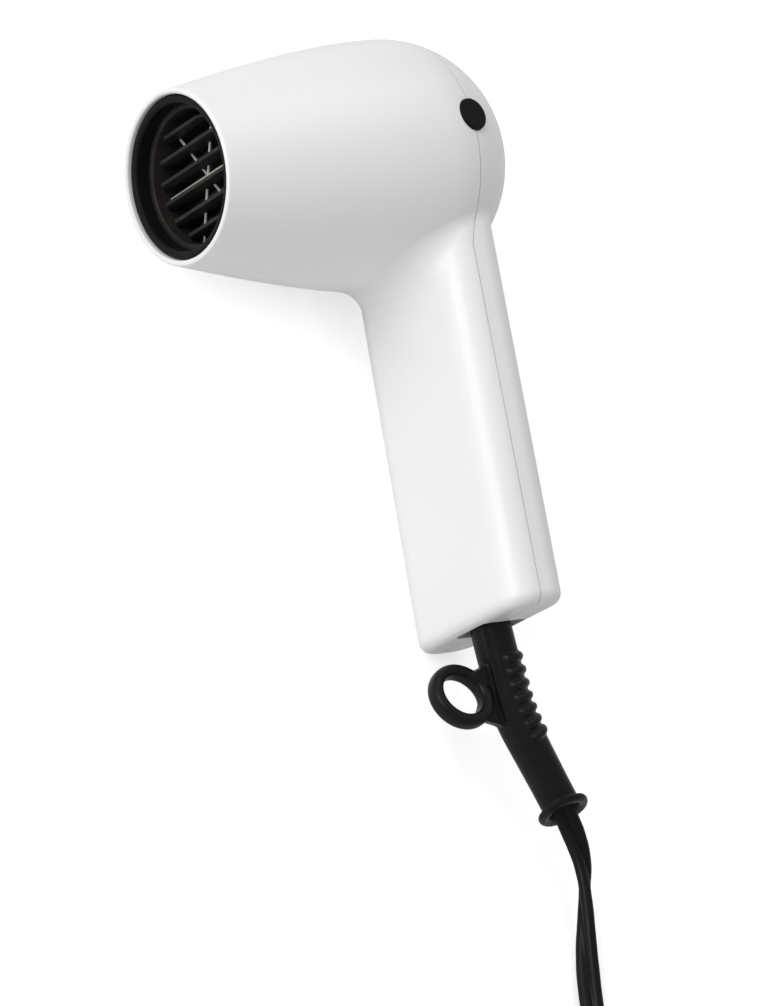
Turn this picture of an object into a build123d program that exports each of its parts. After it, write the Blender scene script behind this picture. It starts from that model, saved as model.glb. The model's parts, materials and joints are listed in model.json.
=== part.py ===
from build123d import *
import os
from math import asin, atan2, cos, degrees, hypot, radians, sin, tan

os.makedirs("parts", exist_ok=True)

# An embossing heat tool, modelled upright: X forward to the nozzle, Y left, Z up.
# The origin is on the barrel's axis. At the end every piece is laid on the tool's right side.

# Barrel
barrel_radius = 37.4
mouth_radius = 25.6
mouth_x = 82.0
widest_x = 7.0
dome_depth = 36.6
wall = 2.4
mouth_run_share = 1 / 3
mouth_rise_share = 0.48
belly_run_share = 0.27
mouth_edge = 0.7

# Handle, a slab that tapers a little and leans its foot towards the nozzle
handle_length = 143.3
handle_width_top = 51.4
handle_width_foot = 54.0
handle_front = 7.5
handle_back = 13.75
handle_lean = 6.1
handle_corner = 8.4
handle_root = 10.0
handle_blend = 5.0
foot_round = 3.5

# Parting line between the two shells, seen from the side
parting_x = -1.65
kink_top = 25.0
kink_bottom = 34.0
kink_x = 2.2
foot_parting_x = 13.3
seam_gap = 0.3
lip_depth = 2.0
lip_inset = 1.3
lip_clearance = 0.15

# Clearances
gap = 0.3
fit = 0.05
socket_clearance = 0.1
overrun = 20.0

# Mouth: liner, grille of slats, guard of three wires
liner_radius = 24.0
liner_bore = 21.2
liner_seat_radius = 21.8
liner_setback = 1.0
liner_collar_length = 14.0
liner_length = 20.0
liner_flange = 1.5
liner_rim_round = 1.1
grille_setback = 5.0
grille_length = 12.0
grille_ring = 2.1
slat_count = 7
slat_pitch = 6.0
slat_drop = 1.2
slat_thickness = 1.1
slat_depth = 10.0
slat_shoulder = 4.5
slat_slope = 5.0
wire_radius = 0.4
wire_clearance = 0.2
wire_setback = 6.0
wire_count = 3

# Heater
sleeve_wall = 0.8
sleeve_radius = 20.8
sleeve_back_x = 30.0
duct_back_x = 14.0
duct_back_radius = 34.5
board_thickness = 1.0
board_back_x = 35.0
board_front_x = 61.5
board_tab = 2.0
board_half = 15.3
coil_wire_radius = 0.5
coil_turns = 5
cutout_radius = 4.0
cutout_length = 4.0
cutout_y = 8.0

# Fan and motor
fan_radius = 27.5
fan_front_x = -2.0
fan_chord_root = 6.6
fan_chord_tip = 11.0
fan_blades = 6
fan_hub_radius = 6.5
fan_hub_length = 10.0
fan_hub_round = 1.6
blade_thickness = 1.2
blade_root_turn = 52.0
blade_tip_turn = 28.0
shaft_radius = 1.5
shaft_length = 24.0
motor_radius = 13.8
motor_back_x = 4.0
motor_length = 26.0
motor_round = 1.6
motor_boss_radius = 5.0
motor_boss_length = 2.0
motor_bore_depth = 15.0
mount_ring = 4.0
mount_thickness = 3.0
mount_arms = 3
mount_arm_width = 5.0
mount_cup_wall = 1.6
mount_cup_length = 12.0
board_disc_radius = 11.5
board_disc_thickness = 1.6
diode_count = 4
diode_radius = 1.4
diode_length = 5.0
diode_pitch = 4.2
diode_y = 3.5
capacitor_radius = 3.2
capacitor_height = 2.6
capacitor_place = 5.6

# Intake slots in the dome
slot_width = 2.6
slot_pitch = 5.2
slot_count = 7
slot_field_radius = 20.0
slot_cut_depth = 10.0

# Rocker switch in the handle's back
switch_z = 62.0
bezel_length = 15.0
bezel_width = 10.6
bezel_height = 1.6
bezel_round = 0.8
switch_body_length = 13.2
switch_body_width = 8.6
switch_body_depth = 10.4
switch_wall = 0.9
switch_well_depth = 4.5
terminal_length = 4.0
terminal_width = 4.0
terminal_thickness = 0.8
terminal_offset = 3.5
rocker_length = 10.4
rocker_width = 6.2
rocker_top_length = 9.4
rocker_foot_length = 6.8
rocker_foot_depth = 3.4
rocker_height = 2.4
rocker_dip = 0.75
rocker_tilt = 9.0
rocker_pin_radius = 1.0
rocker_pin_reach = 1.1
rocker_pivot_depth = 1.0

# Plugs in the seam on the barrel's sides
plug_radius = 5.0
plug_turn = 3.0
plug_lean = 8.0
plug_height = 0.7
plug_depth = 3.2
plug_round = 0.5

# Screws that hold the back cover, axis along X
screw_upper_z = 44.0
screw_upper_y = 18.0
screw_lower_z = 98.0
screw_head_radius = 2.9
screw_head_height = 2.0
screw_head_round = 0.8
screw_radius = 1.4
screw_length = 14.0
screw_slot_width = 0.8
screw_slot_depth = 1.0
boss_radius = 3.6
well_depth = 4.0

# Cord entry
gland_width = 20.0
gland_height = 10.0
pocket_length = 15.6
pocket_width = 15.6
pocket_depth = 3.2
pocket_corner = 2.0
neck_radius = 4.4
neck_sink = 2.0
collar_rise = 5.2
collar_radius = 6.4
collar_thickness = 2.4
stub_top_z = 116.0
clamp_z = 121.0
clamp_length = 24.0
clamp_width = 7.0
clamp_thickness = 2.4
clamp_screw_y = 8.2
clamp_screw_length = 7.0

# Strain relief, in the plane that it bends in
relief_drop = 9.4
relief_radius = 6.15
relief_top_gap = 0.8
relief_lean_top = 6.5
relief_lean_end = 23.7
relief_first_run = 24.3
relief_second_run = 34.1
relief_bend_radius = 47.0
rib_count = 7
rib_pitch = 4.0
rib_first = 8.7
rib_radius = 1.7
rib_shift = 1.0
bell_ring_radius = 6.2
bell_roll_radius = 1.7
funnel_mouth_radius = 4.9
funnel_depth = 6.0
ring_u = -14.4
ring_w = 20.7
ring_outer_radius = 11.5
ring_bore_radius = 7.0
ring_thickness = 6.0
ring_round = 1.7
web_thickness = 3.6
web_top_turn = 50.0
web_bottom_turn = 60.0
web_top_w = 9.0
web_bottom_w = 36.0
web_sag = 3.0

# Leads inside the handle
lead_radius = 1.1
lead_y = 7.0
lead_start_y = 1.75
lead_bend = 3.0
lead_rise_z = 113.0
lead_spread_z = 102.0
lead_spread_x = 9.5
lead_top_z = 34.0
lead_top_x = 6.3
lead_turn_z = 26.0
lead_turn_x = 10.5
lead_front_z = 15.0
lead_side_z = 75.0

# Cord and plug, in the laid frame: the floor is at Z = 0
cord_radius = 3.5
cord_exit_run = 16.0
cord_lead_route = [
    (35.6, -140.0, 7.8),
    (32.2, -158.5, 4.4),
    (28.3, -181.0, 3.6),
    (27.0, -203.0, 4.8),
    (27.0, -225.0, 4.8),
]
coil_centre_x = -19.75
coil_start_reach = 46.75
loop_clearance = 2.0
layer_clearance = 0.5
coil_lower_half_turns = 5
coil_upper_half_turns = 6
cord_tail_route = [
    (31.5, -250.0, 12.3),
    (27.5, -270.0, 8.2),
    (14.0, -287.0, 3.6),
    (-5.0, -298.5, 6.0),
    (-27.0, -298.5, 6.0),
]
bend_share = 0.45
tie_thickness = 1.0
tie_width = 5.0
prong_thickness = 1.5
prong_width = 6.35
prong_length = 15.9
prong_spacing = 12.7
prong_round = 1.5
prong_seat = 3.0
plug_body_length = 26.0
plug_body_width = 24.0
plug_body_thickness = 12.0
plug_body_round = 3.0
plug_neck_length = 12.0
plug_neck_radius = 5.0

# Places worked out from the sizes above
lean_slope = tan(radians(handle_lean))
foot_x = handle_length * lean_slope + (handle_front - handle_back) / 2
handle_depth = handle_front + handle_back
dome_x = widest_x - dome_depth
collar_x = mouth_x - liner_collar_length
liner_front_x = mouth_x - liner_setback
liner_back_x = liner_front_x - liner_length
grille_front_x = liner_front_x - grille_setback
grille_back_x = grille_front_x - grille_length
wire_x = liner_front_x - wire_setback
grille_outer = liner_seat_radius - socket_clearance
grille_inner = grille_outer - grille_ring
sleeve_front_x = grille_back_x - gap
parting_slope = (foot_parting_x - kink_x) / (handle_length - kink_bottom)
collar_z = -handle_length + collar_rise
clamp_x = foot_x - cord_radius
screw_places = [(-screw_upper_z, screw_upper_y), (-screw_upper_z, -screw_upper_y), (-screw_lower_z, 0)]


def handle_x(z):
    """X of the handle's own line at a height z."""
    return -z * lean_slope


def parting_at(z):
    """X of the parting line at a height z on the handle."""
    return kink_x + parting_slope * (-z - kink_bottom)


def well_floor(z):
    """X of the floor of a screw's well at a height z."""
    return handle_x(z) - handle_back + well_depth


def barrel_profile(inset):
    """Half outline of the barrel from its mouth to its dome, pulled in by inset."""
    length = mouth_x - widest_x
    rise = barrel_radius - mouth_radius
    nose = (mouth_x, mouth_radius - inset)
    pull = (mouth_x - length * mouth_run_share, mouth_radius - inset + rise * mouth_rise_share)
    belly = (widest_x + length * belly_run_share, barrel_radius - inset)
    top = (widest_x, barrel_radius - inset)
    Bezier(nose, pull, belly, top)
    EllipticalCenterArc(
        center=(widest_x, 0),
        x_radius=dome_depth - inset,
        y_radius=barrel_radius - inset,
        start_angle=90,
        arc_size=90,
    )
    Polyline((dome_x + inset, 0), (mouth_x, 0), nose)


def on_joint(edge):
    """True for an edge where the handle's sides meet the barrel."""
    box = edge.bounding_box()
    middle = edge @ 0.5
    below = box.max.Z < -handle_root and box.min.Z > -handle_length / 3
    return below and hypot(middle.Y, middle.Z) < barrel_radius + wall


def housing_form(inset, blend):
    """Barrel and handle as one closed solid, its skin pulled in by inset."""
    with BuildPart() as form:
        with BuildSketch(Plane.XZ):
            with BuildLine():
                barrel_profile(inset)
            make_face()
        revolve(axis=Axis.X)
    with BuildPart() as slab:
        for z, width in ((-handle_root, handle_width_top), (-handle_length + inset, handle_width_foot)):
            middle = handle_x(z) + (handle_front - handle_back) / 2
            with BuildSketch(Plane.XY.offset(z)):
                with Locations((middle, 0)):
                    RectangleRounded(handle_depth - 2 * inset, width - 2 * inset, handle_corner - inset)
        loft()
        if blend:
            fillet(slab.faces().sort_by(Axis.Z)[0].edges(), radius=foot_round)
    with BuildPart() as whole:
        add(form.part)
        before = whole.edges()
        add(slab.part)
        if blend:
            joint = [e for e in whole.edges() if e not in before and on_joint(e)]
            fillet(joint, radius=blend)
    return whole.part


def parting_line(shift):
    """Points of the parting line from above the barrel to below the foot, moved by shift."""
    return [
        (parting_x + shift, barrel_radius + overrun),
        (parting_x + shift, -kink_top),
        (kink_x + shift, -kink_bottom),
        (foot_parting_x + parting_slope * overrun + shift, -handle_length - overrun),
    ]


def region(back_shift, front_shift):
    """The slice of space between two copies of the parting line."""
    with BuildPart() as piece:
        with BuildSketch(Plane.XZ):
            with BuildLine():
                Polyline(*parting_line(back_shift), *reversed(parting_line(front_shift)), close=True)
            make_face()
        extrude(amount=barrel_radius + overrun, both=True)
    return piece.part


# Skin, hollow and the two forms of the tongue between the shells
outer_form = housing_form(0, handle_blend)
void_form = housing_form(wall, 0)
inner_form = housing_form(wall + gap, 0)
lip_form = housing_form(lip_inset + lip_clearance, 0)
rebate_form = housing_form(lip_inset, 0)
reach = mouth_x + overrun
front_space = region(seam_gap / 2, reach)
back_space = region(-reach, -seam_gap / 2)

# The hollow ends behind the liner's collar
with BuildPart() as hollow:
    add(void_form)
    split(bisect_by=Plane.YZ.offset(collar_x), keep=Keep.BOTTOM)

# Tongue round the parting line, and the rebate that takes it
with BuildPart() as tongue:
    add(lip_form)
    add(void_form, mode=Mode.SUBTRACT)
    add(region(-lip_depth, seam_gap / 2 + lip_inset), mode=Mode.INTERSECT)
with BuildPart() as rebate:
    add(rebate_form)
    add(inner_form, mode=Mode.SUBTRACT)
    add(region(-lip_depth - gap, seam_gap / 2), mode=Mode.INTERSECT)

# Gland block round the cord's way out, and a boss for each screw
with BuildPart() as posts:
    with BuildSketch(Plane.XY.offset(-handle_length + wall / 2)):
        with Locations((foot_x, 0)):
            Rectangle(handle_depth - wall, gland_width)
    extrude(amount=gland_height - wall / 2)
    for z, y in screw_places:
        with BuildSketch(Plane.YZ.offset(handle_x(z) - handle_back + wall / 2)):
            with Locations((y, z)):
                Circle(boss_radius)
        extrude(amount=handle_depth - wall)
with BuildPart() as shell:
    add(outer_form)
    add(hollow.part, mode=Mode.SUBTRACT)
    add(posts.part)

# Room for the cord's way out: pocket in the foot, hole for the neck, seat for its collar
with BuildPart() as cord_way:
    with BuildSketch(Plane.XY.offset(-handle_length - pocket_depth)):
        with Locations((foot_x, 0)):
            RectangleRounded(pocket_length, pocket_width, pocket_corner)
    extrude(amount=2 * pocket_depth)
    with BuildSketch(Plane.XY.offset(-handle_length)):
        with Locations((foot_x, 0)):
            Circle(neck_radius + gap)
    extrude(amount=gland_height + wall)
    with BuildSketch(Plane.XY.offset(collar_z - gap)):
        with Locations((foot_x, 0)):
            Circle(collar_radius + gap)
    extrude(amount=collar_thickness + 2 * gap)

# The skin at the seam lies a little inside the widest radius
seam_share = (widest_x - parting_x) / dome_depth
seam_radius = barrel_radius * (1 - seam_share * seam_share) ** 0.5


def plug_plane(side):
    """Plane of a seam plug on the skin, its Z axis leaned back from the radius."""
    turn = radians(plug_turn)
    lean = radians(plug_lean)
    return Plane(
        origin=(parting_x, side * seam_radius * cos(turn), seam_radius * sin(turn)),
        z_dir=(-sin(lean), side * cos(lean) * cos(turn), cos(lean) * sin(turn)),
    )


# Round seats for the plugs, half in each shell
with BuildPart() as plug_seats:
    for side in (1, -1):
        with BuildSketch(plug_plane(side).offset(-plug_depth)):
            Circle(plug_radius + socket_clearance)
        extrude(amount=2 * plug_depth)

# Front housing: the barrel's front half with the nozzle and the front of the handle
with BuildPart() as front_housing:
    add(shell.part)
    add(front_space, mode=Mode.INTERSECT)
    add(tongue.part)
    with BuildSketch(Plane.YZ.offset(collar_x - gap)):
        Circle(liner_radius)
    extrude(amount=liner_collar_length + wall, mode=Mode.SUBTRACT)
    fillet(front_housing.edges().filter_by(GeomType.CIRCLE).group_by(Axis.X)[-1], radius=mouth_edge)
    # Saddle for the cord and posts for its clamp
    saddle_x = foot_x + cord_radius
    inside_x = handle_x(-clamp_z) + handle_front - wall / 2
    with BuildSketch(Plane.YZ.offset(saddle_x)):
        with Locations((0, -clamp_z)):
            Rectangle(clamp_width, clamp_width)
    extrude(amount=inside_x - saddle_x)
    with BuildSketch(Plane.YZ.offset(clamp_x)):
        with Locations((clamp_screw_y, -clamp_z), (-clamp_screw_y, -clamp_z)):
            Circle(boss_radius)
    extrude(amount=inside_x - clamp_x)
    with BuildSketch(Plane.YZ.offset(clamp_x - gap)):
        with Locations((clamp_screw_y, -clamp_z), (-clamp_screw_y, -clamp_z)):
            Circle(screw_radius + fit)
    extrude(amount=clamp_screw_length - clamp_thickness + 2 * gap, mode=Mode.SUBTRACT)
    for z, y in screw_places:
        start = parting_at(z) - gap
        with BuildSketch(Plane.YZ.offset(start)):
            with Locations((y, z)):
                Circle(screw_radius + fit)
        extrude(amount=well_floor(z) + screw_length + gap - start, mode=Mode.SUBTRACT)
    add(cord_way.part, mode=Mode.SUBTRACT)
    add(plug_seats.part, mode=Mode.SUBTRACT)

switch_lean = radians(handle_lean)
switch_plane = Plane(
    origin=(handle_x(-switch_z) - handle_back, 0, -switch_z),
    x_dir=(sin(switch_lean), 0, -cos(switch_lean)),
    z_dir=(-cos(switch_lean), 0, -sin(switch_lean)),
)

# Back cover: the intake dome and the back of the handle
with BuildPart() as back_cover:
    add(shell.part)
    add(back_space, mode=Mode.INTERSECT)
    add(rebate.part, mode=Mode.SUBTRACT)
    # Slots across the dome, their ends on a circle
    for row in range(slot_count):
        height = (row - (slot_count - 1) / 2) * slot_pitch
        half = (slot_field_radius * slot_field_radius - height * height) ** 0.5
        with BuildSketch(Plane.YZ.offset(dome_x - wall)):
            with Locations((0, height)):
                SlotOverall(2 * half, slot_width)
        extrude(amount=wall + slot_cut_depth, mode=Mode.SUBTRACT)
    # A well for each screw's head and a hole for its shank
    for z, y in screw_places:
        with BuildSketch(Plane.YZ.offset(well_floor(z))):
            with Locations((y, z)):
                Circle(screw_head_radius + gap)
        extrude(amount=-well_depth - overrun, mode=Mode.SUBTRACT)
        with BuildSketch(Plane.YZ.offset(well_floor(z) - gap)):
            with Locations((y, z)):
                Circle(screw_radius + gap)
        extrude(amount=screw_length, mode=Mode.SUBTRACT)
    with BuildSketch(switch_plane.offset(wall)):
        Rectangle(switch_body_length + 2 * socket_clearance, switch_body_width + 2 * socket_clearance)
    extrude(amount=-3 * wall, mode=Mode.SUBTRACT)
    add(cord_way.part, mode=Mode.SUBTRACT)
    add(plug_seats.part, mode=Mode.SUBTRACT)


def seam_plug(side):
    """A round plug in the seam with a softened rim."""
    plane = plug_plane(side)
    with BuildPart() as plug:
        with BuildSketch(plane.offset(plug_height - plug_depth)):
            Circle(plug_radius)
        extrude(amount=plug_depth)
        outward = Axis(plane.origin, plane.z_dir)
        fillet(plug.faces().sort_by(outward)[-1].edges(), radius=plug_round)
    return plug.part


with BuildPart() as left_seam_plug:
    add(seam_plug(1))
with BuildPart() as right_seam_plug:
    add(seam_plug(-1))

# Nozzle liner: the ring in the mouth, flanged behind the housing's collar, with a seat for the grille
with BuildPart() as nozzle_liner:
    outside = liner_radius - socket_clearance
    with BuildSketch(Plane.XZ):
        with BuildLine():
            Polyline(
                (liner_back_x, liner_seat_radius),
                (liner_back_x, outside + liner_flange),
                (collar_x, outside + liner_flange),
                (collar_x, outside),
                (liner_front_x, outside),
                (liner_front_x, liner_bore),
                (grille_front_x, liner_bore),
                (grille_front_x, liner_seat_radius),
                close=True,
            )
        make_face()
    revolve(axis=Axis.X)
    fillet(nozzle_liner.edges().filter_by(GeomType.CIRCLE).group_by(Axis.X)[-1], radius=liner_rim_round)


def wire_bars(radius, half_length):
    """Bars that cross on the barrel's axis, the first of them level."""
    with BuildPart() as bars:
        for index in range(wire_count):
            turn = radians(180 * index / wire_count)
            with BuildSketch(Plane(origin=(wire_x, 0, 0), z_dir=(0, cos(turn), sin(turn)))):
                Circle(radius)
            extrude(amount=half_length, both=True)
    return bars.part


# Grille: a ring with level slats whose ends fall back to it
with BuildPart() as grille:
    with BuildSketch(Plane.YZ.offset(grille_back_x)):
        Circle(grille_outer)
        Circle(grille_inner, mode=Mode.SUBTRACT)
    extrude(amount=grille_length)
    for row in range(slat_count):
        height = (row - (slat_count - 1) / 2) * slat_pitch - slat_drop
        half = (grille_inner * grille_inner - height * height) ** 0.5 + grille_ring / 2
        flat = max(half - slat_slope, half / 2)
        with BuildSketch(Plane.XY.offset(height - slat_thickness / 2)):
            with BuildLine():
                Polyline(
                    (grille_front_x - slat_depth, -half),
                    (grille_front_x - slat_shoulder, -half),
                    (grille_front_x, -flat),
                    (grille_front_x, flat),
                    (grille_front_x - slat_shoulder, half),
                    (grille_front_x - slat_depth, half),
                    close=True,
                )
            make_face()
        extrude(amount=slat_thickness)
    add(wire_bars(wire_radius + wire_clearance, liner_radius), mode=Mode.SUBTRACT)

# Guard: three crossed wires whose ends stand in the grille's ring
with BuildPart() as wire_guard:
    add(wire_bars(wire_radius, grille_outer - gap))

# Heat sleeve: a thin metal duct that narrows from the fan to the nozzle
with BuildPart() as heat_sleeve:
    with BuildSketch(Plane.XZ):
        with BuildLine():
            Polyline(
                (sleeve_front_x, sleeve_radius),
                (sleeve_back_x, sleeve_radius),
                (duct_back_x, duct_back_radius),
                (duct_back_x, duct_back_radius - sleeve_wall),
                (sleeve_back_x, sleeve_radius - sleeve_wall),
                (sleeve_front_x, sleeve_radius - sleeve_wall),
                close=True,
            )
        make_face()
    revolve(axis=Axis.X)


def mica_board(plane, slot_plane, slot_x):
    """A board along the barrel with tabs on the sleeve's wall, slotted from one end to its middle."""
    tab = sleeve_radius - sleeve_wall - gap
    with BuildPart() as board:
        with BuildSketch(plane):
            with Locations(((board_back_x + board_front_x) / 2, 0)):
                Rectangle(board_front_x - board_back_x, 2 * board_half)
            for x in (board_back_x + board_tab / 2, board_front_x - board_tab / 2):
                with Locations((x, 0)):
                    Rectangle(board_tab, 2 * tab)
        extrude(amount=board_thickness / 2, both=True)
        with BuildSketch(slot_plane):
            with Locations((slot_x, 0)):
                Rectangle(board_front_x - board_back_x, 2 * board_half)
        extrude(amount=board_thickness / 2 + fit, both=True, mode=Mode.SUBTRACT)
    return board.part


# Two mica boards, slotted crosswise into each other
with BuildPart() as upright_mica_board:
    add(mica_board(Plane.XZ, Plane.XY, board_front_x))
with BuildPart() as level_mica_board:
    add(mica_board(Plane.XY, Plane.XZ, board_back_x))

# Heating coil: resistance wire wound round the boards between their tabs
coil_radius = board_half + coil_wire_radius + gap / 2
coil_run = board_front_x - board_back_x - 2 * board_tab - 2 * (coil_wire_radius + gap)
with BuildPart() as heating_coil:
    with BuildLine() as winding:
        Helix(
            pitch=coil_run / coil_turns,
            height=coil_run,
            radius=coil_radius,
            center=(board_back_x + board_tab + coil_wire_radius + gap, 0, 0),
            direction=(1, 0, 0),
        )
    with BuildSketch(Plane(origin=winding.wire() @ 0, z_dir=winding.wire() % 0)):
        Circle(coil_wire_radius)
    sweep(path=winding.wire(), is_frenet=True)

# Thermal cut-out: a round can that lies on the level board
with BuildPart() as thermal_cutout:
    with BuildSketch(Plane.XY.offset(board_thickness / 2)):
        with Locations(((board_back_x + board_front_x) / 2, cutout_y)):
            Circle(cutout_radius)
    extrude(amount=cutout_length)

# Motor: a drawn can with a bush at the fan's end
with BuildPart() as motor:
    with BuildSketch(Plane.YZ.offset(motor_back_x)):
        Circle(motor_radius)
    extrude(amount=motor_length)
    fillet(motor.edges().filter_by(GeomType.CIRCLE), radius=motor_round)
    with BuildSketch(Plane.YZ.offset(motor_back_x)):
        Circle(motor_boss_radius)
    extrude(amount=-motor_boss_length)
    with BuildSketch(Plane.YZ.offset(motor_back_x - motor_boss_length)):
        Circle(shaft_radius + fit)
    extrude(amount=motor_bore_depth, mode=Mode.SUBTRACT)

# Motor mount: a cup for the motor, held by arms in a ring against the shell
mount_radius = barrel_radius - wall - gap
cup_radius = motor_radius + fit
with BuildPart() as motor_mount:
    with BuildSketch(Plane.YZ.offset(widest_x - mount_thickness)):
        Circle(mount_radius)
        Circle(mount_radius - mount_ring, mode=Mode.SUBTRACT)
        with PolarLocations((mount_radius - mount_ring / 2 + cup_radius) / 2, mount_arms, start_angle=90):
            Rectangle(mount_radius - mount_ring / 2 - cup_radius, mount_arm_width)
        with Locations((0, -mount_radius)):
            Rectangle(2 * (lead_y + lead_radius + gap), 3 * mount_ring, mode=Mode.SUBTRACT)
        Circle(cup_radius + mount_cup_wall)
        Circle(cup_radius, mode=Mode.SUBTRACT)
    extrude(amount=mount_thickness)
    with BuildSketch(Plane.YZ.offset(widest_x - mount_thickness)):
        Circle(cup_radius + mount_cup_wall)
        Circle(cup_radius, mode=Mode.SUBTRACT)
    extrude(amount=mount_cup_length)

with BuildPart() as motor_shaft:
    with BuildSketch(Plane.YZ.offset(fan_front_x - fan_hub_length - gap)):
        Circle(shaft_radius)
    extrude(amount=shaft_length)


def fan_blade(turn):
    """One twisted blade, lofted from the hub out to its tip."""
    radial = Vector(0, sin(radians(turn)), cos(radians(turn)))
    across = Vector(0, cos(radians(turn)), -sin(radians(turn)))
    middle = Vector(fan_front_x - fan_hub_length / 2, 0, 0)
    root = fan_hub_radius - blade_thickness
    ends = ((root, fan_chord_root, blade_root_turn), (fan_radius, fan_chord_tip, blade_tip_turn))
    with BuildPart() as blade:
        for radius, chord, pitch_turn in ends:
            with BuildSketch(Plane(origin=middle + radial * radius, x_dir=across, z_dir=radial)):
                Rectangle(chord, blade_thickness, rotation=pitch_turn)
        loft(ruled=True)
    return blade.part


# Fan impeller: blades round a domed hub that is pressed on the shaft
with BuildPart() as fan_impeller:
    with BuildSketch(Plane.YZ.offset(fan_front_x - fan_hub_length)):
        Circle(fan_hub_radius)
    extrude(amount=fan_hub_length)
    fillet(fan_impeller.edges().filter_by(GeomType.CIRCLE).sort_by(Axis.X)[0], radius=fan_hub_round)
    for index in range(fan_blades):
        add(fan_blade(360 * index / fan_blades))
    with BuildSketch(Plane.YZ.offset(fan_front_x - fan_hub_length - gap)):
        Circle(shaft_radius + fit / 2)
    extrude(amount=fan_hub_length + 2 * gap, mode=Mode.SUBTRACT)

# Board on the motor's front end, with its diodes and a capacitor
board_disc_x = motor_back_x + motor_length
board_face_x = board_disc_x + board_disc_thickness
with BuildPart() as diode_board:
    with BuildSketch(Plane.YZ.offset(board_disc_x)):
        Circle(board_disc_radius)
    extrude(amount=board_disc_thickness)
with BuildPart() as diodes:
    with BuildSketch(Plane.XZ.offset(diode_y - diode_length / 2)):
        for index in range(diode_count):
            with Locations((board_face_x + diode_radius, (index - (diode_count - 1) / 2) * diode_pitch)):
                Circle(diode_radius)
    extrude(amount=diode_length)
with BuildPart() as capacitor:
    with BuildSketch(Plane.YZ.offset(board_face_x)):
        with Locations((capacitor_place, capacitor_place)):
            Circle(capacitor_radius)
    extrude(amount=capacitor_height)

# Switch body: bezel on the handle's back, case inside with a well for the rocker
pivot = switch_plane.from_local_coords((0, 0, -rocker_pivot_depth))
with BuildPart() as switch_body:
    with BuildSketch(switch_plane):
        RectangleRounded(bezel_length, bezel_width, bezel_round)
    extrude(amount=bezel_height)
    with BuildSketch(switch_plane):
        Rectangle(switch_body_length, switch_body_width)
    extrude(amount=-switch_body_depth)
    with BuildSketch(switch_plane.offset(-switch_well_depth)):
        Rectangle(switch_body_length - 2 * switch_wall, switch_body_width - 2 * switch_wall)
    extrude(amount=switch_well_depth + 2 * bezel_height, mode=Mode.SUBTRACT)
    with BuildSketch(Plane(origin=pivot, z_dir=(0, 1, 0))):
        Circle(rocker_pin_radius + fit)
    extrude(amount=switch_body_width, both=True, mode=Mode.SUBTRACT)
    with BuildSketch(switch_plane.offset(-switch_body_depth)):
        with Locations((terminal_offset, 0), (-terminal_offset, 0)):
            Rectangle(terminal_thickness, terminal_width)
    extrude(amount=-terminal_length)

# Rocker, drawn in its own plane through the pivot and shown switched off
rocker_turn = radians(handle_lean + rocker_tilt)
rocker_side = Plane(
    origin=pivot,
    x_dir=(sin(rocker_turn), 0, -cos(rocker_turn)),
    z_dir=(0, 1, 0),
)
with BuildPart() as switch_rocker:
    top = rocker_height + rocker_pivot_depth
    foot = rocker_foot_depth - rocker_pivot_depth
    with BuildSketch(rocker_side):
        with BuildLine():
            Polyline(
                (-rocker_foot_length / 2, -foot),
                (rocker_foot_length / 2, -foot),
                (rocker_length / 2, 0),
                (rocker_top_length / 2, top),
                (0, top - rocker_dip),
                (-rocker_top_length / 2, top),
                (-rocker_length / 2, 0),
                close=True,
            )
        make_face()
    extrude(amount=rocker_width / 2, both=True)
    with BuildSketch(rocker_side):
        Circle(rocker_pin_radius)
    extrude(amount=rocker_width / 2 + rocker_pin_reach, both=True)


def pan_screw(length):
    """A slotted pan-head screw, its head on the XY plane and its shank below."""
    with BuildPart() as screw:
        with BuildSketch():
            Circle(screw_head_radius)
        extrude(amount=screw_head_height)
        fillet(screw.faces().sort_by(Axis.Z)[-1].edges(), radius=screw_head_round)
        with BuildSketch(Plane.XY.offset(screw_head_height)):
            Rectangle(2 * screw_head_radius, screw_slot_width)
        extrude(amount=-screw_slot_depth, mode=Mode.SUBTRACT)
        with BuildSketch():
            Circle(screw_radius)
        extrude(amount=-length)
    return screw.part


# Screws in the back cover's wells
housing_screw = pan_screw(screw_length)
with BuildPart() as housing_screws:
    for z, y in screw_places:
        with Locations(Plane(origin=(well_floor(z), y, z), x_dir=(0, 1, 0), z_dir=(-1, 0, 0))):
            add(housing_screw)

# Cord clamp: a bar across the cord with a screw at each end
with BuildPart() as cord_clamp:
    with BuildSketch(Plane.YZ.offset(clamp_x - clamp_thickness)):
        with Locations((0, -clamp_z)):
            SlotOverall(clamp_length, clamp_width)
        with Locations((clamp_screw_y, -clamp_z), (-clamp_screw_y, -clamp_z)):
            Circle(screw_radius + gap, mode=Mode.SUBTRACT)
    extrude(amount=clamp_thickness)
clamp_screw = pan_screw(clamp_screw_length)
with BuildPart() as clamp_screws:
    for y in (clamp_screw_y, -clamp_screw_y):
        place = (clamp_x - clamp_thickness, y, -clamp_z)
        with Locations(Plane(origin=place, x_dir=(0, 1, 0), z_dir=(-1, 0, 0))):
            add(clamp_screw)

# The plane that the strain relief bends in: X to the tool's back, Y down and a little away
relief_plane = Plane(
    origin=(foot_x, 0, -handle_length),
    x_dir=(-1, 0, 0),
    z_dir=(0, -cos(radians(relief_drop)), sin(radians(relief_drop))),
)
relief_top = Vector(0, relief_top_gap)
top_turn = radians(relief_lean_top)
end_turn = radians(relief_lean_end)
relief_bend = relief_top + Vector(sin(top_turn), cos(top_turn)) * relief_first_run
relief_end = relief_bend + Vector(sin(end_turn), cos(end_turn)) * relief_second_run
relief_points = [relief_plane.from_local_coords(p) for p in (relief_top, relief_bend, relief_end)]

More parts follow.
